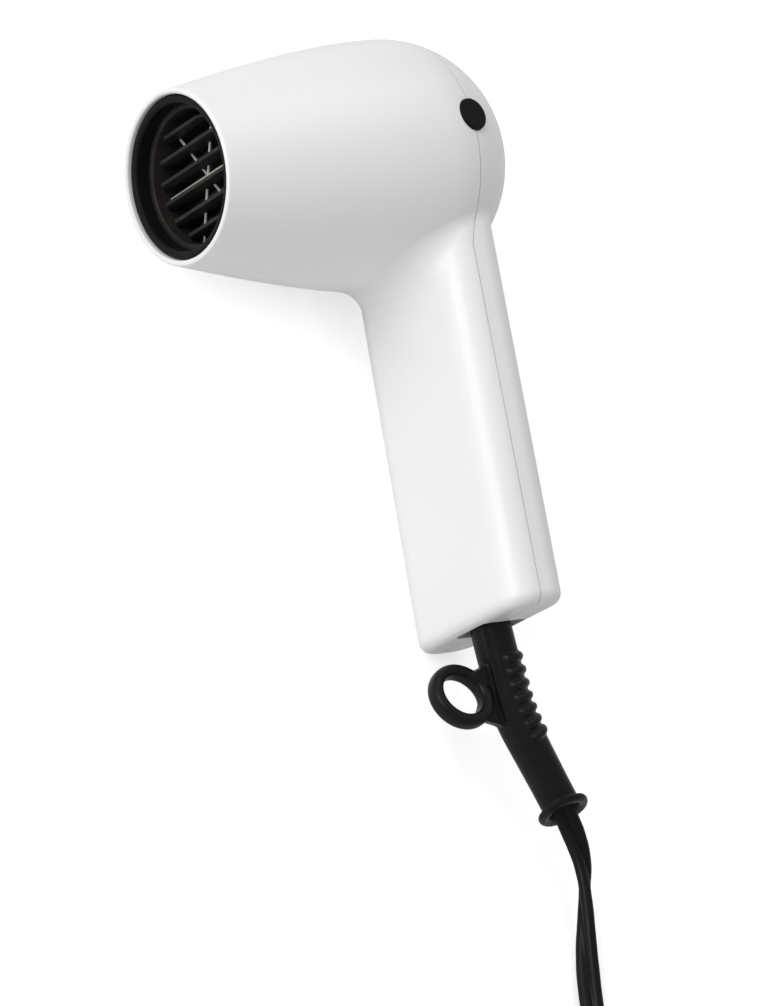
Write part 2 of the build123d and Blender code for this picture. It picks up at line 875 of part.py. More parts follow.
# Hanging ring beside the strain relief
with BuildPart() as hanging_ring:
    with BuildSketch(relief_plane):
        with Locations((ring_u, ring_w)):
            Circle(ring_outer_radius)
            Circle(ring_bore_radius, mode=Mode.SUBTRACT)
    extrude(amount=ring_thickness / 2, both=True)
    fillet(hanging_ring.edges().filter_by(GeomType.CIRCLE), radius=ring_round)

# Strain relief: neck and collar in the housing, bent ribbed sleeve, ring, web and rolled bell
with BuildPart() as strain_relief:
    with BuildLine() as relief_path:
        FilletPolyline(*relief_points, radius=relief_bend_radius)
    relief_wire = relief_path.wire()
    with BuildSketch(Plane(origin=relief_wire @ 0, z_dir=relief_wire % 0)):
        Circle(relief_radius)
    sweep(path=relief_wire)
    for index in range(rib_count):
        share = (rib_first + index * rib_pitch) / relief_wire.length
        centre = relief_wire @ share + relief_plane.x_dir * rib_shift
        with Locations(Plane(origin=centre, z_dir=relief_wire % share)):
            Torus(relief_radius, rib_radius)
    exit_direction = relief_wire % 1
    relief_tip = relief_wire @ 1
    with Locations(Plane(origin=relief_tip - exit_direction * bell_roll_radius, z_dir=exit_direction)):
        Torus(bell_ring_radius, bell_roll_radius)
    add(hanging_ring.part)
    top_angle = radians(web_top_turn)
    low_angle = radians(web_bottom_turn)
    web_start = (ring_u + ring_outer_radius * cos(top_angle), ring_w - ring_outer_radius * sin(top_angle))
    web_finish = (ring_u + ring_outer_radius * cos(low_angle), ring_w + ring_outer_radius * sin(low_angle))
    web_inner = (web_bottom_w * tan(top_turn), web_bottom_w)
    web_middle = (
        (web_finish[0] + web_inner[0]) / 2 + web_sag / 2,
        (web_finish[1] + web_inner[1]) / 2 - web_sag,
    )
    with BuildSketch(relief_plane):
        with BuildLine():
            Polyline(web_finish, (ring_u + ring_outer_radius * cos(low_angle), ring_w), web_start)
            Polyline(web_start, (0, web_top_w), web_inner)
            ThreePointArc(web_inner, web_middle, web_finish)
        make_face()
    extrude(amount=web_thickness / 2, both=True)
    with BuildSketch(Plane.XY.offset(collar_z)):
        with Locations((foot_x, 0)):
            Circle(neck_radius)
    extrude(amount=-collar_rise - relief_top_gap - neck_sink)
    with BuildSketch(Plane.XY.offset(collar_z)):
        with Locations((foot_x, 0)):
            Circle(collar_radius)
    extrude(amount=collar_thickness)
    # The ring's bore stays open, and the bell's funnel takes the cord
    with BuildSketch(relief_plane):
        with Locations((ring_u, ring_w)):
            Circle(ring_bore_radius)
    extrude(amount=ring_thickness, both=True, mode=Mode.SUBTRACT)
    with Locations(Plane(origin=relief_tip - exit_direction * funnel_depth, z_dir=exit_direction)):
        Cone(
            cord_radius + gap,
            funnel_mouth_radius,
            funnel_depth,
            align=(Align.CENTER, Align.CENTER, Align.MIN),
            mode=Mode.SUBTRACT,
        )

# The cord's end inside the handle, from the collar to past the clamp
with BuildPart() as cord_inner:
    with BuildSketch(Plane.XY.offset(collar_z + collar_thickness)):
        with Locations((foot_x, 0)):
            Circle(cord_radius)
    extrude(amount=-stub_top_z - collar_z - collar_thickness)


def lead(points):
    """A round wire along a route of straight runs with small bends."""
    with BuildPart() as wire:
        with BuildLine() as route:
            FilletPolyline(*points, radius=lead_bend)
        with BuildSketch(Plane(origin=route.wire() @ 0, z_dir=route.wire() % 0)):
            Circle(lead_radius)
        sweep(path=route.wire())
    return wire.part


def lead_from_cord(side):
    """Route of a lead from the cord's end to the level where it runs straight up."""
    return [
        (foot_x, side * lead_start_y, -stub_top_z),
        (foot_x, side * lead_start_y, -lead_rise_z),
        (lead_spread_x, side * lead_y, -lead_spread_z),
    ]


def lead_to_board(side):
    """Route of a lead from the handle's top past the motor to the diode board's rim."""
    rim_x = board_disc_x + lead_radius + fit
    rim_z = (board_disc_radius * board_disc_radius - (lead_y - lead_radius) ** 2) ** 0.5
    return [
        (lead_top_x, side * lead_y, -lead_top_z),
        (lead_turn_x, side * lead_y, -lead_turn_z),
        (rim_x, side * lead_y, -lead_front_z),
        (rim_x, side * lead_y, -rim_z),
    ]


def terminal_run(offset):
    """Route beside a switch terminal: the point out in the handle and the point on its edge."""
    depth = switch_body_depth + terminal_length / 2
    tab = switch_plane.from_local_coords((offset, 0, -depth))
    return [(tab.X, -lead_y, tab.Z), (tab.X, -terminal_width / 2, tab.Z)]


# Leads: one from the cord to the motor's board, one by way of the switch
with BuildPart() as neutral_lead:
    add(lead(lead_from_cord(1) + lead_to_board(1)))
with BuildPart() as live_lead:
    side_point = (lead_top_x, -lead_y, -lead_side_z)
    add(lead(lead_from_cord(-1) + [side_point] + terminal_run(terminal_offset)))
with BuildPart() as switched_lead:
    add(lead(terminal_run(-terminal_offset)[::-1] + lead_to_board(-1)))

# The tool lies on its right side, on the barrel's widest circle and the foot's round edge
rest_height = handle_length - foot_round
rest_half = handle_width_foot / 2 - foot_round
roll = asin((barrel_radius - foot_round) / hypot(rest_height, rest_half)) - atan2(rest_half, rest_height)
side_up = Plane(origin=(0, 0, 0), x_dir=(-1, 0, 0), z_dir=(0, cos(roll), sin(roll)))
lowest = strain_relief.part.moved(side_up.location).bounding_box().min.Y
lie = Plane(
    origin=((mouth_x + dome_x) / 2, -(lowest + barrel_radius) / 2, barrel_radius),
    x_dir=(-1, 0, 0),
    z_dir=(0, cos(roll), sin(roll)),
)


def laid_point(point):
    """A point of the upright tool in the laid frame."""
    return lie.from_local_coords(point)


def cord_radii(points):
    """Bend radius at each inner point: a share of the shorter run over the tangent of half the turn."""
    places = [Vector(p) for p in points]
    radii = []
    for before, here, after in zip(places, places[1:], places[2:]):
        turn = (here - before).get_angle(after - here)
        shorter = min((here - before).length, (after - here).length)
        radii.append(bend_share * shorter / tan(radians(turn / 2)))
    return radii


def cord_tube(points):
    """A round tube along straight runs joined by arcs as large as the runs allow."""
    radii = cord_radii(points)
    with BuildPart() as tube:
        with BuildLine() as route:
            FilletPolyline(*points, radius=radii)
        wire = route.wire()
        with BuildSketch(Plane(origin=wire @ 0, z_dir=wire % 0)):
            Circle(cord_radius)
        section = tube.pending_faces[0].area
        sweep(path=wire)
    print("cord", [round(r, 1) for r in radii], round(wire.length, 1), tube.part.volume / (section * wire.length))
    return tube.part


exit_run = laid_point(exit_direction) - laid_point((0, 0, 0))
cord_start = laid_point(relief_tip - exit_direction * funnel_depth)
print("cord exit", cord_start, exit_run, "roll", degrees(roll), "frame", lie.origin)

# Cord from the bell's funnel down to the floor and on to the coil
with BuildPart() as cord_lead:
    add(cord_tube([cord_start, cord_start + exit_run * cord_exit_run] + cord_lead_route))

# Coil of the spare cord: in along the floor, up a layer, and out again on top
coil_half_pitch = (2 * cord_radius + loop_clearance) / 2
layer_rise = 2 * cord_radius + layer_clearance
coil_start = Vector(cord_lead_route[-1])
coil_heading = Vector(0, -1, 0)


def coil_stations():
    """Ends of the coil's half turns on the line through its centre."""
    line_y = coil_start.Y - 2 * cord_radius
    stations = []
    for index in range(coil_lower_half_turns + coil_upper_half_turns + 2):
        inward = min(index, coil_lower_half_turns)
        outward = max(index - coil_lower_half_turns - 1, 0)
        reach_here = coil_start_reach + (outward - inward) * coil_half_pitch
        side = 1 if index % 2 == 0 else -1
        height = coil_start.Z if index <= coil_lower_half_turns else coil_start.Z + layer_rise
        stations.append(Vector(coil_centre_x + side * reach_here, line_y, height))
    return stations


with BuildPart() as cord_coil:
    stations = coil_stations()
    with BuildLine() as coil_path:
        Line(coil_start, stations[0])
        for index in range(len(stations) - 1):
            begin = stations[index]
            finish = stations[index + 1]
            across = (finish - begin).length / 2
            way = coil_heading if index % 2 == 0 else -coil_heading
            ThreePointArc(begin, (begin + finish) / 2 + way * across, finish)
        Line(stations[-1], stations[-1] + coil_heading * 2 * cord_radius)
    coil_wire = coil_path.wire()
    with BuildSketch(Plane(origin=coil_wire @ 0, z_dir=coil_wire % 0)):
        Circle(cord_radius)
    sweep(path=coil_wire)
coil_samples = 1200
coil_points = [coil_wire @ (i / coil_samples) for i in range(coil_samples + 1)]
coil_skip = int(coil_samples * 8 * cord_radius / coil_wire.length)
nearest = min(
    (coil_points[i] - coil_points[j]).length
    for i in range(0, coil_samples, 2)
    for j in range(i + coil_skip, coil_samples, 3)
)
print("coil", round(coil_wire.length, 1), "least gap", round(nearest - 2 * cord_radius, 2))

# Tail of the cord from the coil to the plug
coil_exit = stations[-1] + coil_heading * 2 * cord_radius
with BuildPart() as cord_tail:
    add(cord_tube([coil_exit] + cord_tail_route))

# Tie: a band round the coil's turns on its left side
with BuildPart() as coil_tie:
    outermost = min(station.X for station in stations)
    innermost = stations[coil_lower_half_turns].X
    band_length = innermost - outermost + 2 * (cord_radius + gap)
    band_height = layer_rise + 2 * (cord_radius + gap)
    band_plane = Plane.XZ.offset(-stations[0].Y - tie_width / 2)
    with BuildSketch(band_plane):
        with Locations(((outermost + innermost) / 2, coil_start.Z + layer_rise / 2)):
            RectangleRounded(
                band_length + 2 * tie_thickness,
                band_height + 2 * tie_thickness,
                cord_radius + gap + tie_thickness,
            )
            RectangleRounded(band_length, band_height, cord_radius + gap, mode=Mode.SUBTRACT)
    extrude(amount=tie_width)

# Plug: flat moulded body with a round neck, and two blades
plug_face = Plane(origin=cord_tail_route[-1], x_dir=(0, 1, 0), z_dir=(-1, 0, 0))
blade_plane = plug_face.offset(plug_neck_length + plug_body_length)
with BuildPart() as plug_body:
    with BuildSketch(plug_face.offset(plug_neck_length)):
        Rectangle(plug_body_width, plug_body_thickness)
    extrude(amount=plug_body_length)
    fillet(plug_body.edges().filter_by(Axis.X), radius=plug_body_round)
    with BuildSketch(plug_face):
        Circle(plug_neck_radius)
    extrude(amount=plug_neck_length)
    with BuildSketch(blade_plane.offset(-prong_seat)):
        with Locations((prong_spacing / 2, 0), (-prong_spacing / 2, 0)):
            Rectangle(prong_thickness + 2 * fit, prong_width + 2 * fit)
    extrude(amount=prong_seat, mode=Mode.SUBTRACT)
with BuildPart() as plug_blades:
    with BuildSketch(blade_plane.offset(-prong_seat)):
        with Locations((prong_spacing / 2, 0), (-prong_spacing / 2, 0)):
            Rectangle(prong_thickness, prong_width)
    extrude(amount=prong_seat + prong_length)
    tips = plug_blades.edges().filter_by(Axis.Y).group_by(Axis.X)[0]
    fillet(tips, radius=prong_round)

# Lay every piece of the tool on its side
front_housing.part = front_housing.part.moved(lie.location)
back_cover.part = back_cover.part.moved(lie.location)
left_seam_plug.part = left_seam_plug.part.moved(lie.location)
right_seam_plug.part = right_seam_plug.part.moved(lie.location)
nozzle_liner.part = nozzle_liner.part.moved(lie.location)
grille.part = grille.part.moved(lie.location)
wire_guard.part = wire_guard.part.moved(lie.location)
heat_sleeve.part = heat_sleeve.part.moved(lie.location)
upright_mica_board.part = upright_mica_board.part.moved(lie.location)
level_mica_board.part = level_mica_board.part.moved(lie.location)
heating_coil.part = heating_coil.part.moved(lie.location)
thermal_cutout.part = thermal_cutout.part.moved(lie.location)
motor.part = motor.part.moved(lie.location)
motor_mount.part = motor_mount.part.moved(lie.location)
motor_shaft.part = motor_shaft.part.moved(lie.location)
fan_impeller.part = fan_impeller.part.moved(lie.location)
diode_board.part = diode_board.part.moved(lie.location)
diodes.part = diodes.part.moved(lie.location)
capacitor.part = capacitor.part.moved(lie.location)
switch_body.part = switch_body.part.moved(lie.location)
switch_rocker.part = switch_rocker.part.moved(lie.location)
housing_screws.part = housing_screws.part.moved(lie.location)
cord_clamp.part = cord_clamp.part.moved(lie.location)
clamp_screws.part = clamp_screws.part.moved(lie.location)
strain_relief.part = strain_relief.part.moved(lie.location)
cord_inner.part = cord_inner.part.moved(lie.location)
neutral_lead.part = neutral_lead.part.moved(lie.location)
live_lead.part = live_lead.part.moved(lie.location)
switched_lead.part = switched_lead.part.moved(lie.location)

front_housing.part.label = "front_housing"
export_step(front_housing.part, "parts/front_housing.step")
back_cover.part.label = "back_cover"
export_step(back_cover.part, "parts/back_cover.step")
left_seam_plug.part.label = "left_seam_plug"
export_step(left_seam_plug.part, "parts/left_seam_plug.step")
right_seam_plug.part.label = "right_seam_plug"
export_step(right_seam_plug.part, "parts/right_seam_plug.step")
nozzle_liner.part.label = "nozzle_liner"
export_step(nozzle_liner.part, "parts/nozzle_liner.step")
grille.part.label = "grille"
export_step(grille.part, "parts/grille.step")
wire_guard.part.label = "wire_guard"
export_step(wire_guard.part, "parts/wire_guard.step")
heat_sleeve.part.label = "heat_sleeve"
export_step(heat_sleeve.part, "parts/heat_sleeve.step")
upright_mica_board.part.label = "upright_mica_board"
export_step(upright_mica_board.part, "parts/upright_mica_board.step")
level_mica_board.part.label = "level_mica_board"
export_step(level_mica_board.part, "parts/level_mica_board.step")
heating_coil.part.label = "heating_coil"
export_step(heating_coil.part, "parts/heating_coil.step")
thermal_cutout.part.label = "thermal_cutout"
export_step(thermal_cutout.part, "parts/thermal_cutout.step")
motor.part.label = "motor"
export_step(motor.part, "parts/motor.step")
motor_mount.part.label = "motor_mount"
export_step(motor_mount.part, "parts/motor_mount.step")
motor_shaft.part.label = "motor_shaft"
export_step(motor_shaft.part, "parts/motor_shaft.step")
fan_impeller.part.label = "fan_impeller"
export_step(fan_impeller.part, "parts/fan_impeller.step")
diode_board.part.label = "diode_board"
export_step(diode_board.part, "parts/diode_board.step")
diodes.part.label = "diodes"
export_step(diodes.part, "parts/diodes.step")
capacitor.part.label = "capacitor"
export_step(capacitor.part, "parts/capacitor.step")
switch_body.part.label = "switch_body"
export_step(switch_body.part, "parts/switch_body.step")
switch_rocker.part.label = "switch_rocker"
export_step(switch_rocker.part, "parts/switch_rocker.step")
housing_screws.part.label = "housing_screws"
export_step(housing_screws.part, "parts/housing_screws.step")
cord_clamp.part.label = "cord_clamp"
export_step(cord_clamp.part, "parts/cord_clamp.step")
clamp_screws.part.label = "clamp_screws"
export_step(clamp_screws.part, "parts/clamp_screws.step")
strain_relief.part.label = "strain_relief"
export_step(strain_relief.part, "parts/strain_relief.step")
cord_inner.part.label = "cord_inner"
export_step(cord_inner.part, "parts/cord_inner.step")
neutral_lead.part.label = "neutral_lead"
export_step(neutral_lead.part, "parts/neutral_lead.step")
live_lead.part.label = "live_lead"
export_step(live_lead.part, "parts/live_lead.step")
switched_lead.part.label = "switched_lead"
export_step(switched_lead.part, "parts/switched_lead.step")
cord_lead.part.label = "cord_lead"
export_step(cord_lead.part, "parts/cord_lead.step")
cord_coil.part.label = "cord_coil"
export_step(cord_coil.part, "parts/cord_coil.step")
cord_tail.part.label = "cord_tail"
export_step(cord_tail.part, "parts/cord_tail.step")
coil_tie.part.label = "coil_tie"
export_step(coil_tie.part, "parts/coil_tie.step")
plug_body.part.label = "plug_body"
export_step(plug_body.part, "parts/plug_body.step")
plug_blades.part.label = "plug_blades"
export_step(plug_blades.part, "parts/plug_blades.step")
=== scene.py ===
"""A craft embossing heat tool lying on a pale table, with its flat twin mains cord.

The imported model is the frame, and every piece here lies where the frame says, in metres. The tool
lies on its right side: its nozzle points to -X, its handle to -Y, and the table is at Z = 0.
"""

from __future__ import annotations

import json
import logging
import math
from dataclasses import dataclass, field
from enum import Enum

import bmesh
import bpy
import numpy as np
from mathutils import Matrix, Vector

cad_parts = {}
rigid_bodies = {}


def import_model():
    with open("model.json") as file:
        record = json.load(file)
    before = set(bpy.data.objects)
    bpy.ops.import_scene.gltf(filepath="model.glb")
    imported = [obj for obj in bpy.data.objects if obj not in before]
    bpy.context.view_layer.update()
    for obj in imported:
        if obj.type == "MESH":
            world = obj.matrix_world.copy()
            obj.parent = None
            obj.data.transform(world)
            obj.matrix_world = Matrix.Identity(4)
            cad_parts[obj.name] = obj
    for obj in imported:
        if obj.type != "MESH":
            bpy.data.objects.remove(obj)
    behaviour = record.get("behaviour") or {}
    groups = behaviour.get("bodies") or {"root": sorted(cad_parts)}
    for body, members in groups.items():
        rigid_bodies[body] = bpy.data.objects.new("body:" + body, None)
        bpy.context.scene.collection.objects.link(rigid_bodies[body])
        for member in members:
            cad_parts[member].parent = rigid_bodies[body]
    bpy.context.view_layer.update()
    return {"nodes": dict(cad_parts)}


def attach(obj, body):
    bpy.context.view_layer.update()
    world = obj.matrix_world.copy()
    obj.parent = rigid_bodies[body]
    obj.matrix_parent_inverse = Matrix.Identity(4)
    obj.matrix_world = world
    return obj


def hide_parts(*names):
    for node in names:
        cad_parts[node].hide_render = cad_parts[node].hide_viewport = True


log = logging.getLogger("heat_tool")
Colour = tuple[float, float, float]
Point = tuple[float, float, float]
Array = np.ndarray
Arrays = tuple[Array, Array]
Surface = tuple[Array, Array, list[list[int]]]
Piece = bpy.types.Object
Socket = bpy.types.NodeSocket
Pair = tuple[float, float]
BARREL_AXIS: Point = (0.0262, 0.081544, 0.0374)
LIE_TURN = math.radians(4.293391)
MM_PER_M = 1000
NOISE_RANGE: Pair = (0.2, 0.8)
COLOUR_OCTAVES, GLOSS_OCTAVES, GRAIN_OCTAVES = 3.0, 5.0, 2.0


class Body(str, Enum):
    """The frame's body that the pieces made here ride on."""

    HOUSING = "housing"


def srgb(red: int, green: int, blue: int) -> Colour:
    """A linear colour from 8-bit sRGB values.

    Args:
        red: Red, 0 to 255.
        green: Green, 0 to 255.
        blue: Blue, 0 to 255.

    Returns:
        The linear colour, each channel 0 to 1.
    """
    shares = np.array([red, green, blue]) / 255.0
    low = shares / 12.92
    high = ((shares + 0.055) / 1.055) ** 2.4
    return tuple(float(v) for v in np.where(shares <= 0.04045, low, high))


# Meshes


def full_turn(count: int) -> Array:
    """Evenly spaced angles round a circle.

    Args:
        count: Number of angles.

    Returns:
        The angles in radians, from 0.
    """
    return np.linspace(0.0, 2 * math.pi, count, endpoint=False)


def superellipse(turn: Array, share: float | Array) -> Arrays:
    """A rounded square of half width 1: cosine and sine, each raised to share with its sign kept.

    Args:
        turn: Angles in radians.
        share: The exponent, 1 for a circle and less for squarer corners.

    Returns:
        The two coordinates at each angle.
    """
    cosine, sine = np.cos(turn), np.sin(turn)
    return np.sign(cosine) * np.abs(cosine) ** share, np.sign(sine) * np.abs(sine) ** share


def new_mesh(name: str, surface: Surface) -> Piece:
    """A smooth-shaded object from a surface.

    Args:
        name: Name of the piece.
        surface: Points in metres, quads, and vertex numbers of each wider face.

    Returns:
        The linked object, at the origin.
    """
    points, quads, caps = surface
    mesh = bpy.data.meshes.new(name)
    mesh.from_pydata(points.tolist(), [], quads.tolist() + caps)
    mesh.validate()
    mesh.shade_smooth()
    piece = bpy.data.objects.new(name, mesh)
    bpy.context.scene.collection.objects.link(piece)
    return piece


def join_parts(name: str, parts: list[Surface]) -> Piece:
    """One object from several closed surfaces.

    Args:
        name: Name of the piece.
        parts: Points, quads and wider faces of each surface.

    Returns:
        The linked object, at the origin.
    """
    starts = np.cumsum([0] + [len(points) for points, _, _ in parts[:-1]]).tolist()
    points = np.concatenate([part[0] for part in parts])
    quads = np.concatenate([part[1] + start for part, start in zip(parts, starts)])
    caps = [
        [number + start for number in cap]
        for part, start in zip(parts, starts)
        for cap in part[2]
    ]
    return new_mesh(name, (points, quads, caps))


def tube_surface(rings: Array, capped: bool) -> Surface:
    """Surface through rings of points, one after another.

    Args:
        rings: Rows of rings, shape rows by columns by 3.
        capped: Close the first and the last ring. If not, the last ring joins the first.

    Returns:
        Points, quads and end faces.
    """
    rows, columns = rings.shape[:2]
    numbers = np.arange(rows * columns).reshape(rows, columns)
    corners = np.stack([numbers, np.roll(numbers, -1, axis=1)], axis=-1)
    quads = np.concatenate([corners, np.roll(corners, -1, axis=0)[..., ::-1]], axis=-1)
    if not capped:
        return rings.reshape(-1, 3), quads.reshape(-1, 4), []
    caps = [numbers[0, ::-1].tolist(), numbers[-1].tolist()]
    return rings.reshape(-1, 3), quads[:-1].reshape(-1, 4), caps


def outward(piece: Piece) -> None:
    """Turns the faces of a closed piece outwards.

    Args:
        piece: The piece.
    """
    mesh = bmesh.new()
    mesh.from_mesh(piece.data)
    bmesh.ops.recalc_face_normals(mesh, faces=mesh.faces)
    mesh.to_mesh(piece.data)
    mesh.free()


def bake(piece: Piece) -> None:
    """Writes the result of a piece's modifiers into its mesh.

    Args:
        piece: The piece, whose modifiers are used up.
    """
    graph = bpy.context.evaluated_depsgraph_get()
    mesh = bpy.data.meshes.new_from_object(piece.evaluated_get(graph))
    old = piece.data
    piece.modifiers.clear()
    piece.data = mesh
    mesh.name = piece.name
    mesh.shade_smooth()
    bpy.data.meshes.remove(old)


def lay(x: Array, side: Array, height: Array) -> Array:
    """Points of the lying tool, which is turned by LIE_TURN about its barrel's axis.

    Args:
        x: Place along X in metres.
        side: Distance across the barrel, towards the camera's side.
        height: Distance along the handle's line, away from the foot.

    Returns:
        The points, along a last axis of 3.
    """
    _, axis_y, axis_z = BARREL_AXIS
    y = axis_y - side * math.sin(LIE_TURN) + height * math.cos(LIE_TURN)
    z = axis_z + side * math.cos(LIE_TURN) + height * math.sin(LIE_TURN)
    return np.stack(np.broadcast_arrays(x, y, z), axis=-1)


# Finishes


def add_node(
    tree: bpy.types.NodeTree,
    kind: str,
    values: dict | None = None,
    links: dict | None = None,
    **settings: str,
) -> bpy.types.NodeOutputs:
    """Adds a shader node with its settings, its inputs' values and its incoming links.

    Args:
        tree: Node tree to add to.
        kind: The node's type, without the word that all of them begin with.
        values: Value of each named or numbered input.
        links: Socket that feeds each named or numbered input.
        settings: The node's own properties.

    Returns:
        The node's outputs.
    """
    node = tree.nodes.new(f"ShaderNode{kind}")
    for name, setting in settings.items():
        setattr(node, name, setting)
    for key, value in (values or {}).items():
        node.inputs[key].default_value = value
    for key, socket in (links or {}).items():
        tree.links.new(socket, node.inputs[key])
    return node.outputs


@dataclass(frozen=True)
class Pattern:
    """Patterns in one node tree, placed by the piece's Object coordinates."""

    tree: bpy.types.NodeTree
    where: Socket

    def noise(self, size: float, detail: float, low: float, high: float) -> Socket:
        """A noise whose usual range, NOISE_RANGE, is mapped smoothly on low to high.

        Args:
            size: Size of a feature in metres.
            detail: Octaves of the noise.
            low: Result for the noise's low end.
            high: Result for its high end.

        Returns:
            The mapped socket.
        """
        values = {"Scale": 1.0 / size, "Detail": detail}
        noise = add_node(self.tree, "TexNoise", values, {"Vector": self.where})["Fac"]
        least, most = NOISE_RANGE
        ends = {"From Min": least, "From Max": most, "To Min": low, "To Max": high}
        smooth = {"interpolation_type": "SMOOTHERSTEP"}
        return add_node(self.tree, "MapRange", ends, {"Value": noise}, **smooth)["Result"]

    def near(self, value: Socket, middle: float, margin: float) -> Socket:
        """A socket that is 1 where a value is within a margin of its middle, and 0 elsewhere.

        Args:
            value: Socket with the value.
            middle: The middle.
            margin: The margin.

        Returns:
            The socket.
        """
        ends = {1: middle, 2: margin}
        return add_node(self.tree, "Math", ends, {0: value}, operation="COMPARE")[0]


@dataclass(frozen=True)
class Finish:
    """A finish whose colour drifts over the piece, with a fine grain in gloss and relief.

    The colour is the base times one plus or minus drift, by a broad noise of drift_size. The
    roughness moves by gloss_drift with a noise of gloss_patch times that size. The relief is a
    noise of grain_size across and grain_depth high.
    """

    name: str
    colour: Colour
    roughness: float = 0.4
    metallic: float = 0.0
    specular: float = 0.5
    drift: float = 0.04
    drift_size: float = 0.03
    gloss_drift: float = 0.08
    gloss_patch: float = 0.4
    grain_size: float = 0.0006
    grain_depth: float = 0.00003

    def material(self) -> bpy.types.Material:
        """Builds the material once and finds it again by its name.

        Returns:
            The material.
        """
        title = f"{self.name}_finish"
        found = bpy.data.materials.get(title)
        if found is not None:
            return found
        made = bpy.data.materials.new(title)
        made.use_nodes = True
        tree = made.node_tree
        shader = tree.nodes["Principled BSDF"].inputs
        shader["Metallic"].default_value = self.metallic
        shader["Specular IOR Level"].default_value = self.specular
        where = add_node(tree, "TexCoord")["Object"]
        pattern = Pattern(tree, where)
        tree.links.new(self.tint(pattern), shader["Base Color"])
        low, high = self.roughness - self.gloss_drift, self.roughness + self.gloss_drift
        gloss = pattern.noise(self.drift_size * self.gloss_patch, GLOSS_OCTAVES, low, high)
        tree.links.new(gloss, shader["Roughness"])
        values = {"Scale": 1.0 / self.grain_size, "Detail": GRAIN_OCTAVES}
        grain = add_node(tree, "TexNoise", values, {"Vector": where})["Fac"]
        bump = add_node(tree, "Bump", {"Distance": self.grain_depth}, {"Height": grain})
        tree.links.new(bump["Normal"], shader["Normal"])
        return made

    def tint(self, pattern: Pattern) -> Socket:
        """Makes the slowly drifting colour.

        Args:
            pattern: Patterns in the material's tree.

        Returns:
            The colour's socket.
        """
        low = [c * (1 - self.drift) for c in self.colour]
        high = [min(c * (1 + self.drift), 1) for c in self.colour]
        ends = {"A": (*low, 1), "B": (*high, 1)}
        share = {"Factor": pattern.noise(self.drift_size, COLOUR_OCTAVES, 0.0, 1.0)}
        return add_node(pattern.tree, "Mix", ends, share, data_type="RGBA")["Result"]

    def dress(self, piece: Piece) -> None:
        """Puts the finish on every slot of a piece.

        Args:
            piece: The piece.
        """
        if not piece.material_slots:
            piece.data.materials.append(self.material())
        for slot in piece.material_slots:
            slot.material = self.material()


@dataclass(frozen=True)
class MarkedFinish(Finish):
    """A finish with a switch's two usual marks printed on it: a bar and a circle.

    The bar is where the point lies within its half length and half width, and the circle is where
    the distance to its centre is about its radius, both in the switch's face, which is Y and Z.
    """

    ink: Colour = field(default_factory=lambda: srgb(226, 226, 222))
    bar: Pair = (0.02260, 0.03299)
    circle: Pair = (0.01664, 0.03255)
    reach: float = 0.0010
    line: float = 0.00019

    def tint(self, pattern: Pattern) -> Socket:
        """Makes the drifting colour with the marks mixed over it.

        Args:
            pattern: Patterns in the material's tree.

        Returns:
            The colour's socket.
        """
        tree = pattern.tree
        face = add_node(tree, "SeparateXYZ", links={0: pattern.where})
        along = pattern.near(face["Y"], self.bar[0], self.reach)
        both = {0: along, 1: pattern.near(face["Z"], self.bar[1], self.line)}
        bar = add_node(tree, "Math", links=both, operation="MULTIPLY")[0]
        flat = add_node(tree, "CombineXYZ", links={"X": face["Y"], "Y": face["Z"]})[0]
        centre = {1: (*self.circle, 0.0)}
        apart = add_node(tree, "VectorMath", centre, {0: flat}, operation="DISTANCE")["Value"]
        either = {0: bar, 1: pattern.near(apart, self.reach, self.line)}
        mark = add_node(tree, "Math", links=either, operation="MAXIMUM")[0]
        sources = {"Factor": mark, "A": super().tint(pattern)}
        return add_node(tree, "Mix", {"B": (*self.ink, 1)}, sources, data_type="RGBA")["Result"]


WHITE_PLASTIC = Finish(
    "white_moulded_plastic", srgb(239, 239, 239), 0.34,
    drift=0.012, drift_size=0.06, gloss_drift=0.05, grain_depth=0.00001,
)
BLACK_PLASTIC = Finish(
    "black_moulded_plastic", srgb(22, 21, 20), 0.42, specular=0.09, grain_depth=0.00005
)
BRIGHT_STEEL = Finish("bright_steel", srgb(205, 205, 203), 0.28, 1.0, drift=0.06, drift_size=0.004)
SLEEVE_METAL = Finish(
    "aluminised_sleeve", srgb(160, 158, 154), 0.36, 1.0, drift=0.1, drift_size=0.012
)
MICA = Finish("mica_sheet", srgb(168, 156, 132), 0.38, drift=0.18, drift_size=0.004)
MOTOR_CAN = Finish("plated_motor_can", srgb(176, 176, 170), 0.34, 1.0, drift=0.06)
BOARD = Finish("laminate_board", srgb(150, 108, 62), 0.5, drift=0.08, drift_size=0.004)
COMPONENT = Finish("component_epoxy", srgb(36, 37, 40), 0.45)
RELIEF_RUBBER = Finish(
    "relief_rubber", srgb(22, 21, 20), 0.32, specular=0.16, drift=0.15, grain_size=0.0009
)
CORD_JACKET = Finish(
    "cord_jacket", srgb(22, 21, 20), 0.34, specular=0.14, drift=0.12, grain_size=0.0007
)
PLUG_RUBBER = Finish(
    "plug_rubber", srgb(26, 25, 25), 0.46, specular=0.2, drift=0.12,
    grain_size=0.0005, grain_depth=0.00006,
)
GRILLE_COAT = Finish(
    "grille_coating", srgb(42, 40, 38), 0.5, specular=0.16, drift=0.3,
    drift_size=0.005, grain_depth=0.00006,
)
GUARD_WIRE = Finish("guard_wire", srgb(214, 212, 208), 0.45, 0.35, drift=0.12, drift_size=0.002)
LEAD_JACKET = Finish("lead_jacket", srgb(196, 196, 192), 0.4, drift=0.05)
BAND_WEAVE = Finish(
    "band_weave", srgb(34, 34, 36), 0.7, specular=0.2, drift=0.25,
    grain_size=0.0004, grain_depth=0.00015,
)
BRASS = Finish("brass_blade", srgb(206, 172, 104), 0.3, 1.0, drift=0.08, drift_size=0.006)
